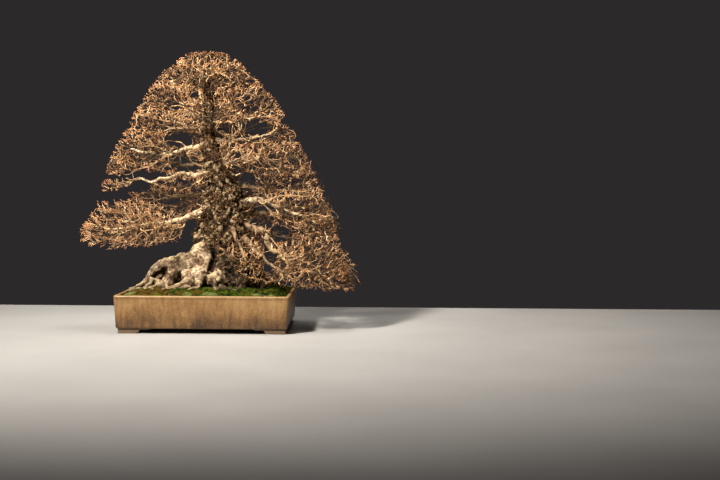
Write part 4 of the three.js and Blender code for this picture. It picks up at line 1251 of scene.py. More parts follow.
WINDOWS = np.array([
    [-72, 468, 34, 17], [-58, 411, 36, 18], [-168, 383, 54, 8], [-173, 353, 42, 11],
    [-46, 238, 24, 40], [116, 505, 35, 19], [97, 370, 22, 20], [137, 305, 26, 10],
    [178, 241, 24, 19], [152, 165, 20, 30], [-38, 588, 13, 10], [-86, 559, 16, 9],
    [44, 500, 14, 10], [-228, 330, 30, 9], [60, 436, 18, 8], [-96, 318, 30, 7],
    [-222, 507, 26, 9], [-264, 378, 30, 7], [196, 524, 22, 10], [292, 394, 30, 10],
    [356, 256, 20, 8], [-186, 566, 18, 8], [150, 604, 16, 8],
], float)
FINE_AREA = 250
FINE_RADIUS = 1.12
FINE_THICKENING = 0.36
LEAST_RADIUS = 0.95
INNER_SPACING = 7
DENSE_SPACING = 2.1
DENSE_LIMBS = ("spray_front_hanging", "spray_right_low_front")
INNER_SPREAD = (15, 17, 14)
SHOWN_TRUNK = (120, 620)
CLEARED_FRONT = 0.88
CLEARED_BACK = 0.3
BACK_START = 45
THIN_WOOD = 2.5
WANDER = 5
BOX_MARGIN = 7
FILLS = {
    "spray_apex": [([-8, 2, 689], [13, 11, 5], 70)],
    "spray_left_low": [([-292, -30, 246], [16, 22, 14], 40)],
    "spray_right_low": [([346, -34, 146], [22, 24, 18], 90), ([322, -30, 190], [18, 24, 12], 30)],
    "spray_right_middle": [([320, -24, 262], [16, 24, 22], 50)],
    "spray_right_top": [([196, -10, 520], [12, 20, 20], 30)],
}
PALE_LIMBS = (
    "spray_left_low", "spray_left_bare", "spray_left_high", "spray_left_middle", "spray_right_middle",
    "spray_right_high", "spray_right_low_back",
)
LIMB_GRADES = ((4, 3.6, 12), (2.2, 5, 6), (1.7, 5, 4), (1.1, 7, 4), (0, 7, 3))
SHOOT_WOOD = 2.2
SHOOT_LENGTHS = (7, 16)
SHOOT_RADII = (0.95, 1.25)
BOX_LOW = (np.array(cad_box[0]) - POT_MIDDLE) * 1000 + 0.5
BOX_HIGH = (np.array(cad_box[1]) - POT_MIDDLE) * 1000 - 0.5


def crown_slice(points):
    """The middle and the half lengths of the ellipse that the crown fills at each
    point's height, from its left and right edge there."""
    left = np.interp(points[:, 2], CROWN[:, 0], CROWN[:, 1])
    right = np.interp(points[:, 2], CROWN[:, 0], CROWN[:, 2])
    half = (right - left) / 2
    middle = np.column_stack([(left + right) / 2, np.full(len(half), CROWN_MIDDLE)])
    return middle, np.column_stack([half, CROWN_DEPTH * half + CROWN_LEAST_DEPTH])


def drawn_in(points, inset=0):
    """Points outside the crown, or nearer its outline than an inset, are moved level
    towards its middle until they lie there. With an inset the outline is a little ragged."""
    middle, half = crown_slice(points)
    offset = points[:, :2] - middle
    if np.any(inset):
        half = half * (1.012 + 0.022 * cloud(points, 42, 95)[:, None])
    out = np.maximum(1, np.linalg.norm(offset / np.maximum(half - inset, 4), axis=1))
    return np.column_stack([middle + offset / out[:, None], points[:, 2]])


def seen_at(points):
    """Where the camera sees points, as x and z in the plane through the trunk."""
    eye_x, eye_y, eye_z = CAMERA_PLACE
    share = eye_y / (eye_y - points[:, 1])
    return eye_x + (points[:, 0] - eye_x) * share, eye_z + (points[:, 2] - eye_z) * share


def is_in_window(points):
    """Whether points are seen in an opening between the branches: an ellipse with a
    ragged edge, given by its middle and its half lengths across and up."""
    x, z = seen_at(points)
    across = (x[:, None] - WINDOWS[:, 0]) / WINDOWS[:, 2]
    up = (z[:, None] - WINDOWS[:, 1]) / WINDOWS[:, 3]
    ragged = cloud(np.column_stack([x, 0 * x, z]), 15, 97)
    return (across ** 2 + up ** 2 < (1 + 0.8 * ragged)[:, None]).any(axis=1)


def is_before_trunk(points):
    """Whether points hide the trunk from the camera, between its foot and the crown's
    top, but for the right half of its foot."""
    line, girths = smooth_line(TRUNK, 120)
    x, z = seen_at(points)
    middle = np.interp(z, line[:, 2], line[:, 0])
    girth = np.interp(z, line[:, 2], girths[:, 0])
    low, high = SHOWN_TRUNK
    is_near = (np.abs(x - middle) < np.maximum(13, 0.95 * girth)) & (points[:, 1] < 5)
    is_right_foot = (x > 22) & (z < 205)
    return is_near & (z > low) & (z < high) & ~is_right_foot


def is_by_foot(points):
    """Whether points are seen in the dark corner at the right of the trunk's foot."""
    x, z = seen_at(points)
    return (x > 4) & (x < 84) & (z < 168) & (points[:, 1] > -125)


def painted_light_left(points, least):
    """Painted shade: 1, or the least share of the tint for wood that is seen before the trunk or in the
    dark corner at its foot.
    """
    return np.where(is_before_trunk(points) | is_by_foot(points), least, 1)


def depth_in_pads(points, pads):
    """How far out points lie in ellipsoids, given by their middle, their half lengths
    across and along, and their reach up and down: 1 on the surface, less inside."""
    offset = points - pads[..., :3]
    flat = offset[..., :2] / pads[..., 3:5]
    rise = offset[..., 2] / np.where(offset[..., 2] > 0, pads[..., 5], pads[..., 6])
    return np.sqrt((flat ** 2).sum(axis=-1) + rise ** 2)


def in_pad(pad, rise, around, out):
    """Points of an ellipsoid from a height, a turn about its middle and a distance out."""
    flat = np.sqrt(1 - rise * rise) * out
    up = np.where(rise > 0, pad[5], pad[6]) * rise * out
    level = [pad[0] + pad[3] * flat * np.cos(around), pad[1] + pad[4] * flat * np.sin(around)]
    return np.stack([*level, pad[2] + up], axis=-1)


def draw_points(pad, draw, count):
    """Points one by one, more often near the surface and in the upper half."""
    drawn = []
    for _ in range(count):
        rise = 2 * draw() - 1
        if rise < 0 and draw() < 0.45:
            rise = -rise
        around = 2 * math.pi * draw()
        drawn.append((rise, around, 1 - 0.55 * draw() ** 2))
    return drawn_in(in_pad(pad, *np.array(drawn).T))


def is_above_ground(points, over_pot, beside_pot):
    """Whether points clear the rim and the moss by one distance, or the rim's level
    beside the pot by another."""
    x, y, z = points.T
    is_over_pot = (np.abs(x) < HALF_WIDTH + 8) & (np.abs(y) < HALF_DEPTH + 8)
    ground = np.maximum(RIM_HEIGHT, soil_height(x, y) + MOSS_THICKNESS) + over_pot
    return z > np.where(is_over_pot, ground, RIM_HEIGHT + beside_pot)


def is_welcome(points, pad, owner):
    """Whether points lie above the ground, and deeper in their own cushion than in another branch's."""
    own = depth_in_pads(points, pad)
    others = depth_in_pads(points[:, None], ALL_PADS[PAD_OWNERS != owner])
    return is_above_ground(points, 5, 10) & (others.min(axis=1) > own - 0.12)


def points_to_reach(pads, owner, area, draw_eight):
    """Evenly spread points, one for each area of the cushions' skin: of eight draws,
    the welcome one farthest from the rest is kept."""
    reached = np.zeros((0, 3))
    for pad in pads:
        skin = math.pi * (pad[3] * pad[4] + 0.5 * (pad[3] + pad[4]) * (pad[5] + pad[6]))
        for _ in range(max(6, int(skin / area + 0.5))):
            drawn = draw_eight(pad)
            apart = np.linalg.norm(drawn[:, None] - reached[None], axis=-1).min(axis=1, initial=np.inf)
            apart = np.where(is_welcome(drawn, pad, owner), np.minimum(apart, 1e6), -1)
            if apart.max() >= 0:
                reached = np.vstack([reached, drawn[apart.argmax()]])
    return reached


def distance_between(a, b, c, d):
    """The nearest that a straight piece a-b comes to each of the pieces c-d: how far
    apart the closest points of the two lines are, held within the pieces' ends."""
    first = b - a
    second = d - c
    offset = a - c
    ff = first @ first
    ss = (second * second).sum(axis=1)
    fs = second @ first
    fo = offset @ first
    so = (offset * second).sum(axis=1)
    spread = ff * ss - fs * fs
    t = np.where(spread > 1e-9, np.clip((fs * so - fo * ss) / np.maximum(spread, 1e-9), 0, 1), 0)
    u = (fs * t + so) / ss
    outside = (u < 0) | (u > 1)
    u = np.clip(u, 0, 1)
    t = np.where(outside, np.clip((fs * u - fo) / ff, 0, 1), t)
    return np.linalg.norm(offset + first * t[:, None] - second * u[:, None], axis=1)


class Standing:
    """Wood that stands already: straight pieces, each with its radius and owner."""

    def __init__(self):
        self.pieces = np.zeros((0, 8))

    def register(self, points, radii, owner):
        """Adds the pieces between neighbouring points."""
        thick = np.maximum(radii[1:], radii[:-1])
        fresh = np.column_stack([points[:-1], points[1:], thick, np.full(len(thick), owner)])
        self.pieces = np.vstack([self.pieces, fresh])

    def is_clear(self, start, end, owner):
        """Whether a twig from start to end keeps its distance from all other owners' wood."""
        others = self.pieces[self.pieces[:, 7] != owner]
        apart = distance_between(start, end, others[:, :3], others[:, 3:6])
        return bool((apart > others[:, 6] + TWIG_SPACE).all())


def grow(tree, goals, wood, owner, bend, haste):
    """The branch reaches its goals one by one, the cheapest first: a short way,
    without a sharp turn, and not too far along the wood. A goal whose way other
    owners' wood bars is dropped."""
    costs = np.full(len(goals), np.inf)
    parents = np.full(len(goals), -1)

    def offer(index):
        """Makes a point the parent of each goal that is reached most cheaply from it."""
        step = goals - tree["points"][index]
        length = np.linalg.norm(step, axis=1)
        turn = 1 - step @ tree["along"][index] / np.maximum(length, 1e-9)
        cost = length * (1 + bend * turn) + haste * tree["reach"][index]
        cheaper = cost < costs
        parents[cheaper] = index
        costs[cheaper] = cost[cheaper]

    for index in range(FIRST_FORK, len(tree["points"])):
        offer(index)
    done = np.zeros(len(goals), bool)
    while not done.all():
        pick = int(np.where(done, np.inf, costs).argmin())
        done[pick] = True
        parent = int(parents[pick])
        if wood.is_clear(tree["points"][parent], goals[pick], owner):
            step = goals[pick] - tree["points"][parent]
            length = float(np.linalg.norm(step))
            tree["points"].append(goals[pick])
            tree["along"].append(step / length)
            tree["reach"].append(tree["reach"][parent] + length)
            tree["parents"].append(parent)
            offer(len(tree["points"]) - 1)


def stem_tree(points, radii):
    """A tree that holds only the stem: each point's place, way on, distance from the
    trunk, parent and radius."""
    behind = points[np.maximum(np.arange(len(points)) - 1, 0)]
    return {
        "points": list(points),
        "along": list(unit(points - behind)),
        "reach": list(np.linalg.norm(points - points[0], axis=1)),
        "parents": [k - 1 for k in range(len(points))],
        "radii": list(np.maximum(TWIG_RADIUS, radii)),
    }


def thicken(tree, thinnest, least, power):
    """New wood thickens with the number of twig ends that it carries, but stays
    thinner than what carries it. Returns each point's number of ends."""
    ends = np.zeros(len(tree["points"]))
    for index in range(len(ends) - 1, 0, -1):
        ends[index] = max(1, ends[index])
        ends[tree["parents"][index]] += ends[index]
    radii = tree["radii"]
    for index in range(len(radii), len(ends)):
        most = 0.8 * radii[tree["parents"][index]]
        radii.append(max(min(most, thinnest * ends[index] ** power), least))
    return ends


def runs_of(tree, rank):
    """Unbroken runs of wood, each with the node that carries it first. A run goes
    on into the fork of the highest rank."""
    children = [[] for _ in tree["points"]]
    for index, parent in enumerate(tree["parents"]):
        if parent >= 0:
            children[parent].append(index)
    runs = []
    starts = [(0, -1)]
    while starts:
        index, root = starts.pop()
        run = [] if root < 0 else [root]
        while True:
            run.append(index)
            forks = sorted(children[index], key=lambda child: -rank[child])
            starts += [(fork, index) for fork in forks[1:]]
            if not forks:
                break
            index = forks[0]
        runs.append(run)
    return runs


def coarse_spray(owner, pads, stem):
    """The spray's main twigs, grown by the same rule and the same draws as its solid.
    The stem's and then the busiest wood goes on unbroken through each fork."""
    draw = Draws(700 + owner)
    goals = points_to_reach(pads, owner, TWIG_AREA, lambda pad: draw_points(pad, draw, 8))
    tree = stem_tree(*stem)
    grow(tree, goals, standing, owner, bend=0.45, haste=0.35)
    ends = thicken(tree, TWIG_RADIUS, TWIG_RADIUS, TWIG_THICKENING)
    rank = ends.copy()
    rank[:len(stem[0])] = 1e6
    for run in runs_of(tree, rank):
        radii = np.array(tree["radii"])[run]
        if run[0] != 0:
            radii[0] = radii[1]
        standing.register(np.array(tree["points"])[run], radii, TWIG_OWNER)
    return tree, ends


def inner_goals(stem_points, spacing, draws):
    """Places close round a limb, from the trunk on, for the short twigs that it carries."""
    length = np.linalg.norm(np.diff(stem_points, axis=0), axis=1).sum()
    count = int(length / spacing)
    place = draws.uniform(0.1, 1, count) * (len(stem_points) - 1)
    before = np.minimum(place.astype(int), len(stem_points) - 2)
    part = (place - before)[:, None]
    seats = (1 - part) * stem_points[before] + part * stem_points[before + 1]
    goals = drawn_in(seats + [0, 0, 4] + draws.normal(0, 1, (count, 3)) * INNER_SPREAD, 8)
    return goals[is_above_ground(goals, 5, 10)]


def drift(points, size, seed):
    """Smooth noise along each of the three axes, in lumps of a size."""
    return np.stack([cloud(points, size, seed + k) for k in range(3)], axis=-1)


def loosened(points, radii):
    """Thin wood wanders a little, and keeps back from the crown's outline by a ragged
    inset, the most at the far right, so that only shoots reach it."""
    inset = 5 + 12 * step_up(cloud(points, 11, 104), -0.1, 0.5)
    inset += 5 * step_up(points[:, 0], 330, 380)
    moved = drawn_in(points + WANDER * drift(points, 20, 101), inset[:, None])
    moved = np.clip(moved, BOX_LOW + BOX_MARGIN, BOX_HIGH - BOX_MARGIN)
    is_free = (radii < THIN_WOOD) & is_above_ground(moved, 3, 4)
    return np.where(is_free[:, None], moved, points)


def fine_spray(owner, name, pads, tree, ends, stem_points):
    """The fine twigs between and beyond the main ones: they fill the same cushions,
    stand close along the limb, and fill a few places more, given by middle, spread and
    number. They leave the windows open, and are thinner at the back and before the trunk."""
    draws = np.random.default_rng(2000 + owner)

    def draw_eight(pad):
        """Points more often near the cushion's surface and in its upper half."""
        rise = draws.uniform(-1, 1, 8)
        rise = np.where((rise < 0) & (draws.uniform(0, 1, 8) < 0.45), -rise, rise)
        out = 0.95 - 0.6 * draws.uniform(0, 1, 8) ** 1.6
        return drawn_in(in_pad(pad, rise, draws.uniform(0, 2 * math.pi, 8), out), 7)

    goals = [points_to_reach(pads, owner, FINE_AREA, draw_eight)]
    goals.append(inner_goals(stem_points, DENSE_SPACING if name in DENSE_LIMBS else INNER_SPACING, draws))
    for middle, spread, count in FILLS.get(name, ()):
        goals.append(drawn_in(draws.normal(0, 1, (count, 3)) * spread + middle, 8))
    goals = np.vstack(goals)
    is_hiding = is_before_trunk(goals) & (draws.uniform(0, 1, len(goals)) < CLEARED_FRONT)
    is_spare = (goals[:, 1] > BACK_START) & (draws.uniform(0, 1, len(goals)) < CLEARED_BACK)
    goals = goals[~is_in_window(goals) & ~is_hiding & ~is_spare]
    grow(tree, goals, trunk_standing, TWIG_OWNER, bend=0.8, haste=0.12)
    rank = thicken(tree, FINE_RADIUS, LEAST_RADIUS, FINE_THICKENING)
    rank[:len(ends)] += 1e4 + 10 * ends
    tree["points"] = list(loosened(np.array(tree["points"]), np.array(tree["radii"])))
    return runs_of(tree, rank)


standing = Standing()
for line in [TRUNK, *ROOTS]:
    line_points, line_radii = smooth_line(line, len(line) - 1)
    standing.register(line_points, 1.15 * line_radii[:, 0] + 1, TRUNK_OWNER)
trunk_standing = Standing()
trunk_standing.pieces = standing.pieces.copy()
stems = []
for owner, (wood, _) in enumerate(BRANCHES.values()):
    stem_points, stem_radii = smooth_line(wood, int(1.25 * (len(wood) - 1) + 0.5))
    stems.append((stem_points, stem_radii[:, 0]))
    standing.register(*stems[-1], owner)


def painted_depth_shade(points, depth):
    """Painted shade: 1 for twigs near the outside of their cushion, and less for those
    far inside it and at the tree's back, which the tint makes darker."""
    return (0.3 + 0.7 * step_up(depth, 0.4, 0.85)) * (1 - 0.4 * step_up(points[:, 1], 15, 60))


def round_rods(values, sides):
    """Values along pointed rods, given to the points of each ring and to the tip."""
    return np.concatenate([np.repeat(values[:, :-1], sides, axis=1), values[:, -1:]], axis=1)


def limb_groups(tree, runs):
    """Runs as smooth lines with their radii and their freedom to bend, in groups with
    the same number of steps and of sides, which follow from how thick the run is at
    most. A run's first ring lies inside the wood that carries it."""
    groups = {}
    points = np.array(tree["points"])
    for run in runs:
        radii = np.array(tree["radii"])[run]
        if run[0] != 0:
            radii[0] = min(radii[0], 1.25 * radii[1])
        length = np.linalg.norm(np.diff(points[run], axis=0), axis=1).sum()
        pace, sides = next(grade[1:] for grade in LIMB_GRADES if radii.max() > grade[0])
        steps = max(len(run), int(length / pace))
        line, others = smooth_line(np.column_stack([points[run], radii]), steps)
        groups.setdefault((steps, sides), []).append((line, others[:, 0], min(1.5, length / 70)))
    return groups


def limb_tint(line, radii, freedom, pads, stem_tint, draws):
    """How light wood is: drawn at random, lowered by painted shade inside its cushion
    and at the tree's back, and under a limit for thick and for long twigs. A main limb has the stem's tint
    where it is thick."""
    middle = line.mean(axis=1)
    depth = depth_in_pads(middle[:, None], pads).min(axis=1)
    tint = draws.uniform(0, 1, len(line)) * painted_depth_shade(middle, depth)
    widest = radii.max(axis=1)
    highest = np.where(widest > 1.6, 0.52, 1 - 0.66 * step_up(freedom, 0.2, 0.5))
    tint = np.minimum(tint, highest)[:, None]
    return np.where(widest[:, None] > 4.5, 0.42 + (stem_tint - 0.42) * step_up(radii, 1.6, 3.4), tint)


def limb_rods(pile, tree, runs, pads, stem_tint, draws):
    """Rods along the runs: thick ones round and knobbly with short steps, thin ones
    with few sides, each bent a little aside between its forks. A limb flares where it
    leaves the trunk."""
    for (steps, sides), lines in limb_groups(tree, runs).items():
        line, radii, freedom = (np.stack(column) for column in zip(*lines))
        along = np.linspace(0, 1, steps + 1)
        slack = np.minimum(1, 4 * along * (1 - along))[None, :, None]
        sway = drift(line, 30, 81) + 0.55 * drift(line, 11, 84)
        sway *= np.clip(1.2 * radii - 0.9, 0.3, 5.5)[..., None]
        line = line + freedom[:, None, None] * slack * sway
        kink = draws.normal(0, 1, line.shape) * np.minimum(1, 1.6 / radii)[..., None]
        line = line + np.minimum(1, 2 * slack) * kink * 0.75
        swell = 1.0
        if sides > 4:
            skin, _ = rods(line, radii, sides)
            bumps = cloud(skin, 14, 87) + 0.8 * cloud(skin, 7, 88) + 0.5 * cloud(skin, 3.5, 89)
            swell = 1 + 0.2 * bumps.reshape(len(lines), steps + 1, sides)
            swell = swell + 0.5 * np.exp(-along * steps / 7)[None, :, None] * (radii[:, :1, None] > 4)
        skin, faces = rods(line, radii, sides, pointed=True, swell=swell)
        youth = round_rods(np.clip(0.6 - 0.2 * np.log2(radii / 0.7), 0, 0.6), sides)
        tint = round_rods(limb_tint(line, radii, freedom, pads, stem_tint, draws), sides)
        # Painted shade before the trunk and in the dark corner at its foot.
        tint = tint.ravel() * painted_light_left(skin.reshape(-1, 3), 0.35)
        pile.add(skin, faces, youth=youth.ravel(), tint=tint)


def shoot_starts(tree, pads, draws):
    """Where last year's shoots stand and which way they point: on from the twig,
    out from the cushion's middle and from the crown's, and up, with a random part.
    Ends carry more of them, and so does the crown's outline."""
    points, ways, radii = (np.array(tree[part]) for part in ("points", "along", "radii"))
    is_hiding = is_before_trunk(points) & (draws.uniform(0, 1, len(points)) < 0.85)
    is_thin = (radii < SHOOT_WOOD) & ~is_hiding
    is_end = np.bincount(tree["parents"][1:], minlength=len(points)) == 0
    depth = depth_in_pads(points[:, None], pads)
    own = pads[depth.argmin(axis=1)]
    middle, half = crown_slice(points)
    from_crown = (points[:, :2] - middle) / half
    wanted = np.where(is_end, 3, 1) * (is_thin & (depth.min(axis=1) < 1.6))
    wanted += is_end & (draws.uniform(0, 1, len(points)) < 0.6)
    wanted += is_thin & ~is_end & (np.linalg.norm(from_crown, axis=1) > 0.93)
    index = np.repeat(np.arange(len(points)), wanted)
    from_pad = unit((points[index] - own[index, :3]) / own[index, 3:6])
    outward = np.column_stack([from_crown[index], np.zeros(len(index))])
    way = 0.4 * ways[index] + 0.75 * from_pad + 0.65 * outward + [0, 0, 0.2]
    way += draws.normal(0, 0.32, (len(index), 3))
    return points[index], unit(way), radii[index], own[index]


def shortened(length, starts, reach, own, droop):
    """Each length is cut by about a quarter, five times at most, while its end would
    leave the cushion, the crown, the frame's box or the crown's round top, or stand in
    a window. Returns the lengths, and which of them fit and aren't too short."""
    for _ in range(5):
        ends = starts + (length + 3)[:, None] * reach
        middle, half = crown_slice(ends)
        is_out = depth_in_pads(ends, own) > np.where(ends[:, 2] > own[:, 2], 1.5, 1.15)
        is_out |= np.linalg.norm((ends[:, :2] - middle) / half, axis=1) > 1.012
        is_out |= ((ends < BOX_LOW) | (ends > BOX_HIGH)).any(axis=1) | is_in_window(ends)
        is_out |= ends[:, 2] > CROWN_TOP - 0.0042 * (ends[:, 0] + 8) ** 2 - droop
        length = np.where(is_out, 0.74 * length, length)
    return length, ~is_out & (length > 3) & is_above_ground(ends, 3, 4)


def shoots(pile, starts, ways, carrier, own, draws):
    """Each shoot zigzags from bud to bud: four points whose steps swing to one side
    and the other of its way, which bends slowly up. It bears a bud at its end, and
    some bear one or two more at their bends."""
    count = len(starts)
    length = draws.uniform(*SHOOT_LENGTHS, count)
    droop = draws.uniform(0, 9, count)
    side = unit(np.cross(ways, draws.normal(0, 1, (count, 3))))
    along = np.array([0, 0.36, 0.7, 1.0])[:, None]
    swing = np.array([0, 1, -0.8, 0])[:, None] * 0.1
    bend = np.array([0, 0.04, 0.13, 0.26])[:, None]
    shape = along * ways[:, None] + swing * side[:, None]
    shape = shape + bend * ([0, 0, 0.5] + 0.8 * side[:, None])
    length, is_kept = shortened(length, starts, shape[:, -1], own, droop)
    starts, side, carrier, own = (given[is_kept] for given in (starts, side, carrier, own))
    count = len(starts)
    points = starts[:, None] + length[is_kept, None, None] * shape[is_kept]
    base = np.minimum(0.95 * carrier, draws.uniform(*SHOOT_RADII, count))
    skin, faces = rods(points, base[:, None] * [1, 0.9, 0.76, 0.6], 3, pointed=True)
    # Painted shade lowers the tint far inside the cushions, at the back, before the trunk and in the dark
    # corner at its foot.
    tint = draws.uniform(0, 1, count) * painted_depth_shade(starts, depth_in_pads(starts, own))
    tint *= painted_light_left(starts, 0.3)
    youth = round_rods(np.tile([0.5, 0.6, 0.7, 0.82], (count, 1)), 3)
    pile.add(skin, faces, youth=youth.ravel(), tint=np.repeat(tint, skin.shape[1]))
    last = unit(points[:, -1] - points[:, -2])
    buds(pile, points[:, -1] - 0.6 * last, last, draws.uniform(3.6, 5.4, count), tint)
    for spot, hand, share in ((1, 1, 0.3), (2, -1, 0.5)):
        keep = draws.uniform(0, 1, count) < share
        way = unit(points[keep, spot + 1] - points[keep, spot])
        lean = unit(way + 0.6 * hand * side[keep])
        buds(pile, points[keep, spot], lean, draws.uniform(2.6, 4.0, keep.sum()), tint[keep])


def buds(pile, seats, ways, lengths, tint):
    """Pointed buds: a foot, a ring of three points a third of the way up, and a tip."""
    aside = -square_to(ways)
    other = np.cross(ways, aside)
    angle = (np.arange(3) * 2 * math.pi / 3)[:, None]
    seats, ways, lengths = seats[:, None], ways[:, None], lengths[:, None, None]
    belly = 0.2 * lengths * (np.cos(angle) * aside[:, None] + np.sin(angle) * other[:, None])
    points = np.concatenate([seats, seats + 0.36 * lengths * ways + belly, seats + lengths * ways], axis=1)
    faces = np.array([[0, 2, 1], [0, 3, 2], [0, 1, 3], [1, 2, 4], [2, 3, 4], [3, 1, 4]])
    youth = np.tile([0.86, 0.93, 0.93, 0.93, 1.0], len(seats))
    pile.add(points, [copies(faces, 5, len(seats))], youth=youth, tint=np.repeat(tint, 5))


def winter_twigs():
    """Pale grey-cream limbs with brown scars, some of them darker; tan twigs, cream
    where their tint is high, a pale tone that is partly painted light on the outer twigs;
    painted shade that makes limbs, twigs and buds dark brown inside the cushions, at the
    back, before the trunk and in the dark corner at its foot; and shoots that turn
    orange-brown towards their buds, which are more orange outside."""
    finish = Finish("winter_twigs", Specular_IOR_Level=0.25)
    youth = finish.carried("youth")
    tint = finish.carried("tint")
    by_age = finish.ramp(
        youth,
        (0.0, shade(184, 160, 126)),
        (0.3, shade(192, 162, 120)),
        (0.6, shade(220, 174, 122)),
        (0.72, shade(214, 158, 102)),
        (0.84, shade(198, 134, 80)),
        (1.0, shade(216, 156, 104)),
    )
    mottle = finish.noise(0.011, 4.0)
    scars = finish.noise(0.007, 4.0, start=6.0).above(0.48, 0.58)
    spots = finish.noise(0.0042, 3.0, start=31.0).above(0.54, 0.62)
    limb = 1 - youth.above(0.1, 0.45)
    bud = youth.above(0.76, 0.86)
    twig = youth.above(0.06, 0.3) * (1 - bud)
    # The tint is a tone drawn at random, lowered by painted shade: low tint paints limbs, twigs and buds
    # dark, and high tint paints the outer twigs pale cream, partly a painted highlight.
    colour = finish.layers(
        by_age,
        (scars * limb * 0.85, shade(78, 56, 36)),
        (mottle.above(0.53, 0.66) * limb * 0.5, shade(224, 206, 170)),
        (bud * tint.above(0.6, 0.8) * 0.36, shade(206, 120, 62)),
        (bud * (1 - tint.above(0.1, 0.36)) * 0.8, shade(84, 46, 26)),
        ((1 - tint.above(0.3, 0.7)) * limb * 0.75, shade(96, 70, 46)),
        ((1 - tint.above(0.16, 0.48)) * twig * 0.92, shade(34, 22, 13)),
        (tint.above(0.52, 0.8) * twig * 0.8, shade(255, 234, 196)),
        (spots * twig * 0.5, shade(84, 58, 36)),
    )
    return finish.dress(colour, 0.55 + mottle * 0.2, finish.noise(0.0024, 3.0), 0.0009)


def show_wood(name, pile, nodes):
    """A pile of wood on show, with no point outside the frame's box."""
    pile.points = [np.clip(points, BOX_LOW, BOX_HIGH) for points in pile.points]
    show(name, pile.mesh(name), twig_material, nodes)


twig_material = winter_twigs()
for owner, (name, (_, pads)) in enumerate(BRANCHES.items()):
    pads = np.array(pads, float)
    tree, ends = coarse_spray(owner, pads, stems[owner])
    runs = fine_spray(owner, name, pads, tree, ends, stems[owner][0])
    spray_draws = np.random.default_rng(3000 + owner)
    spray = Pile()
    limb_rods(spray, tree, runs, pads, 1.0 if name in PALE_LIMBS else 0.4, spray_draws)
    shoots(spray, *shoot_starts(tree, pads, spray_draws), spray_draws)
    show_wood(name + "_wood", spray, [name])

# Trunk shoots
# Short twigs that spring straight from the old bark, thick on the dark right
# half of the trunk's foot and thinner above: part of the same living wood.
TRUNK_SHOOTS = 700
TRUNK_SHOOT_HEIGHTS = (118, 590)
WHOLE_CROWN = (0.0, 0, 350, 500, 500, 500, 500)


def trunk_shoots(pile, draws):
    """Seats are drawn up the trunk's line, more of them low down, and round it, and kept
    where the bark is rough, but for most of those in the dark corner at its foot. From
    each a twig leans out and up, which carries shoots."""
    low, high = TRUNK_SHOOT_HEIGHTS
    line, girths = smooth_line(TRUNK, 200)
    height = low + (high - low) * draws.uniform(0, 1, TRUNK_SHOOTS) ** 1.8
    girth = np.interp(height, line[:, 2], girths[:, 0])
    centre = np.column_stack([np.interp(height, line[:, 2], column) for column in line.T])
    turn = draws.uniform(0, 2 * math.pi, TRUNK_SHOOTS)
    out = np.column_stack([np.cos(turn), np.sin(turn), 0 * turn])
    seats = centre + 0.88 * girth[:, None] * out
    is_wanted = ~is_by_foot(seats) | (seats[:, 1] > 10) | (draws.uniform(0, 1, TRUNK_SHOOTS) < 0.25)
    keep = (bark_roughness(seats + 8 * out)[0] > 0.6) & is_above_ground(seats, 8, 10) & is_wanted
    seats, out = seats[keep], out[keep]
    way = unit(out + [0, 0, 0.35] + draws.normal(0, 0.4, seats.shape))
    side = draws.normal(0, 0.5, seats.shape)
    length = (draws.uniform(10, 34, len(seats)) + 0.12 * girth[keep])[:, None]
    steps = ((0, 0), (0.3, 0.05), (0.55, 0), (0.8, 0.1), (1, 0.14))
    points = np.concatenate([seats + part * length * way + sway * length * side for part, sway in steps])
    points = drawn_in(points, 6).reshape(5, -1, 3).transpose(1, 0, 2)
    radii = draws.uniform(1.1, 1.9, (len(seats), 1)) * [1, 0.85, 0.75, 0.62, 0.5]
    skin, faces = rods(points, radii, 4, pointed=True)
    tint = np.repeat(draws.uniform(0.1, 1, len(seats)), skin.shape[1])
    # Painted shade before the trunk and in the dark corner at its foot.
    pile.add(skin, faces, youth=0.5, tint=tint * painted_light_left(skin.reshape(-1, 3), 0.4))
    starts = np.concatenate([points[:, k] for k in (2, 3, 4, 4)])
    ways = unit(np.tile(unit(points[:, 4] - points[:, 2]), (4, 1)) + draws.normal(0, 0.5, starts.shape))
    own = np.tile(WHOLE_CROWN, (len(starts), 1))
    shoots(pile, starts, ways, np.full(len(starts), 1.2), own, draws)


wild = Pile()
trunk_shoots(wild, np.random.default_rng(91))
show_wood("trunk_shoots", wild, ["trunk"])

# Floor, light and camera
# A plain pale floor that ends a little behind the pot, three soft lamps, and the
# camera where the photograph was taken from: level with the trunk, well to its right.
FLOOR_HALF_WIDTH = 2.6
FLOOR_FRONT = -3.2
FLOOR_BACK = 0.5
LENS = 58.5
SENSOR_WIDTH = 36
CAMERA_DIP = 2.45
CAMERA_ROLL = 0.42


def pale_floor():
    """Pale grey, with a faint cloudiness."""
    finish = Finish("pale_floor")
    cloudy = finish.noise(0.3, 3.0)
    colour = finish.ramp(cloudy, (0.3, shade(150, 148, 146)), (0.7, shade(158, 156, 154)))
    return finish.dress(colour, cloudy * 0.1 + 0.75, cloudy, 0.0002)


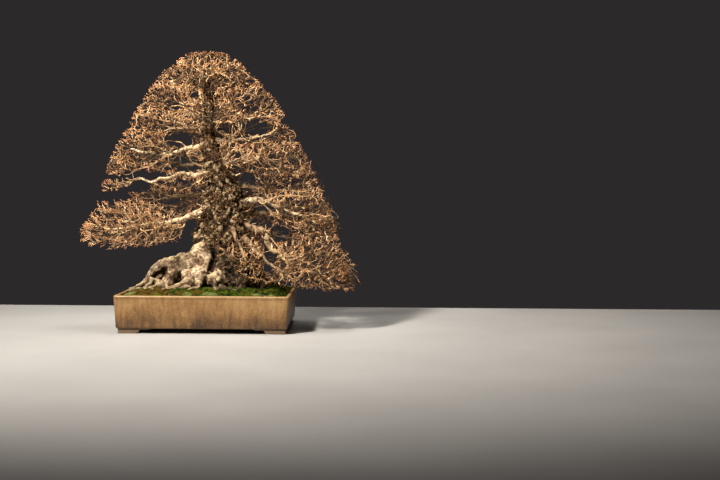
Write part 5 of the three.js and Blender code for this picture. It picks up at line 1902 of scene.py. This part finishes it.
def lamp(name, place, aim, size, spread, power, colour):
    """A square soft light that faces a point, in metres, and spreads by an angle in degrees."""
    light = bpy.data.lights.new(name, "AREA")
    light.size = size
    light.spread = math.radians(spread)
    light.energy = power
    light.color = colour
    holder = bpy.data.objects.new(name, light)
    holder.location = place
    holder.rotation_euler = (Vector(aim) - Vector(place)).to_track_quat("-Z", "Y").to_euler()
    holder.visible_camera = False
    bpy.context.scene.collection.objects.link(holder)


floor_mesh = bpy.data.meshes.new("floor")
corners = [(-1, FLOOR_FRONT), (1, FLOOR_FRONT), (1, FLOOR_BACK), (-1, FLOOR_BACK)]
floor_mesh.from_pydata([(side * FLOOR_HALF_WIDTH, y, 0) for side, y in corners], [], [(0, 1, 2, 3)])
floor_mesh.materials.append(pale_floor())
floor = bpy.data.objects.new("floor", floor_mesh)
bpy.context.scene.collection.objects.link(floor)

warm, soft, clear = (1.0, 0.94, 0.85), (1.0, 0.97, 0.93), (1.0, 0.96, 0.9)
lamp("key_lamp", (-1.2, -1.8, 2.2), (0.05, 0, 0.38), size=0.3, spread=70, power=37.5, colour=warm)
lamp("fill_lamp", (0.5, -2.7, 1.0), (0, 0, 0.35), size=1.2, spread=120, power=1.5, colour=soft)
lamp("top_lamp", (0.2, 0.1, 2.2), (0, 0, 0.4), size=0.6, spread=90, power=7, colour=clear)

world = bpy.data.worlds.new("studio")
world.use_nodes = True
backdrop = world.node_tree.nodes["Background"]
backdrop.inputs["Color"].default_value = shade(44, 41, 43)
backdrop.inputs["Strength"].default_value = 1.0
bpy.context.scene.world = world

camera = bpy.data.cameras.new("camera")
camera.lens = LENS
camera.sensor_width = SENSOR_WIDTH
camera_holder = bpy.data.objects.new("camera", camera)
camera_holder.location = Vector(np.array(CAMERA_PLACE) / 1000 + POT_MIDDLE)
tilt = Matrix.Rotation(math.radians(90 - CAMERA_DIP), 4, "X")
roll = Matrix.Rotation(math.radians(CAMERA_ROLL), 4, "Z")
camera_holder.rotation_euler = (tilt @ roll).to_euler()
bpy.context.scene.collection.objects.link(camera_holder)
bpy.context.scene.camera = camera_holder

bpy.context.scene.view_settings.view_transform = "Standard"
bpy.context.view_layer.update()
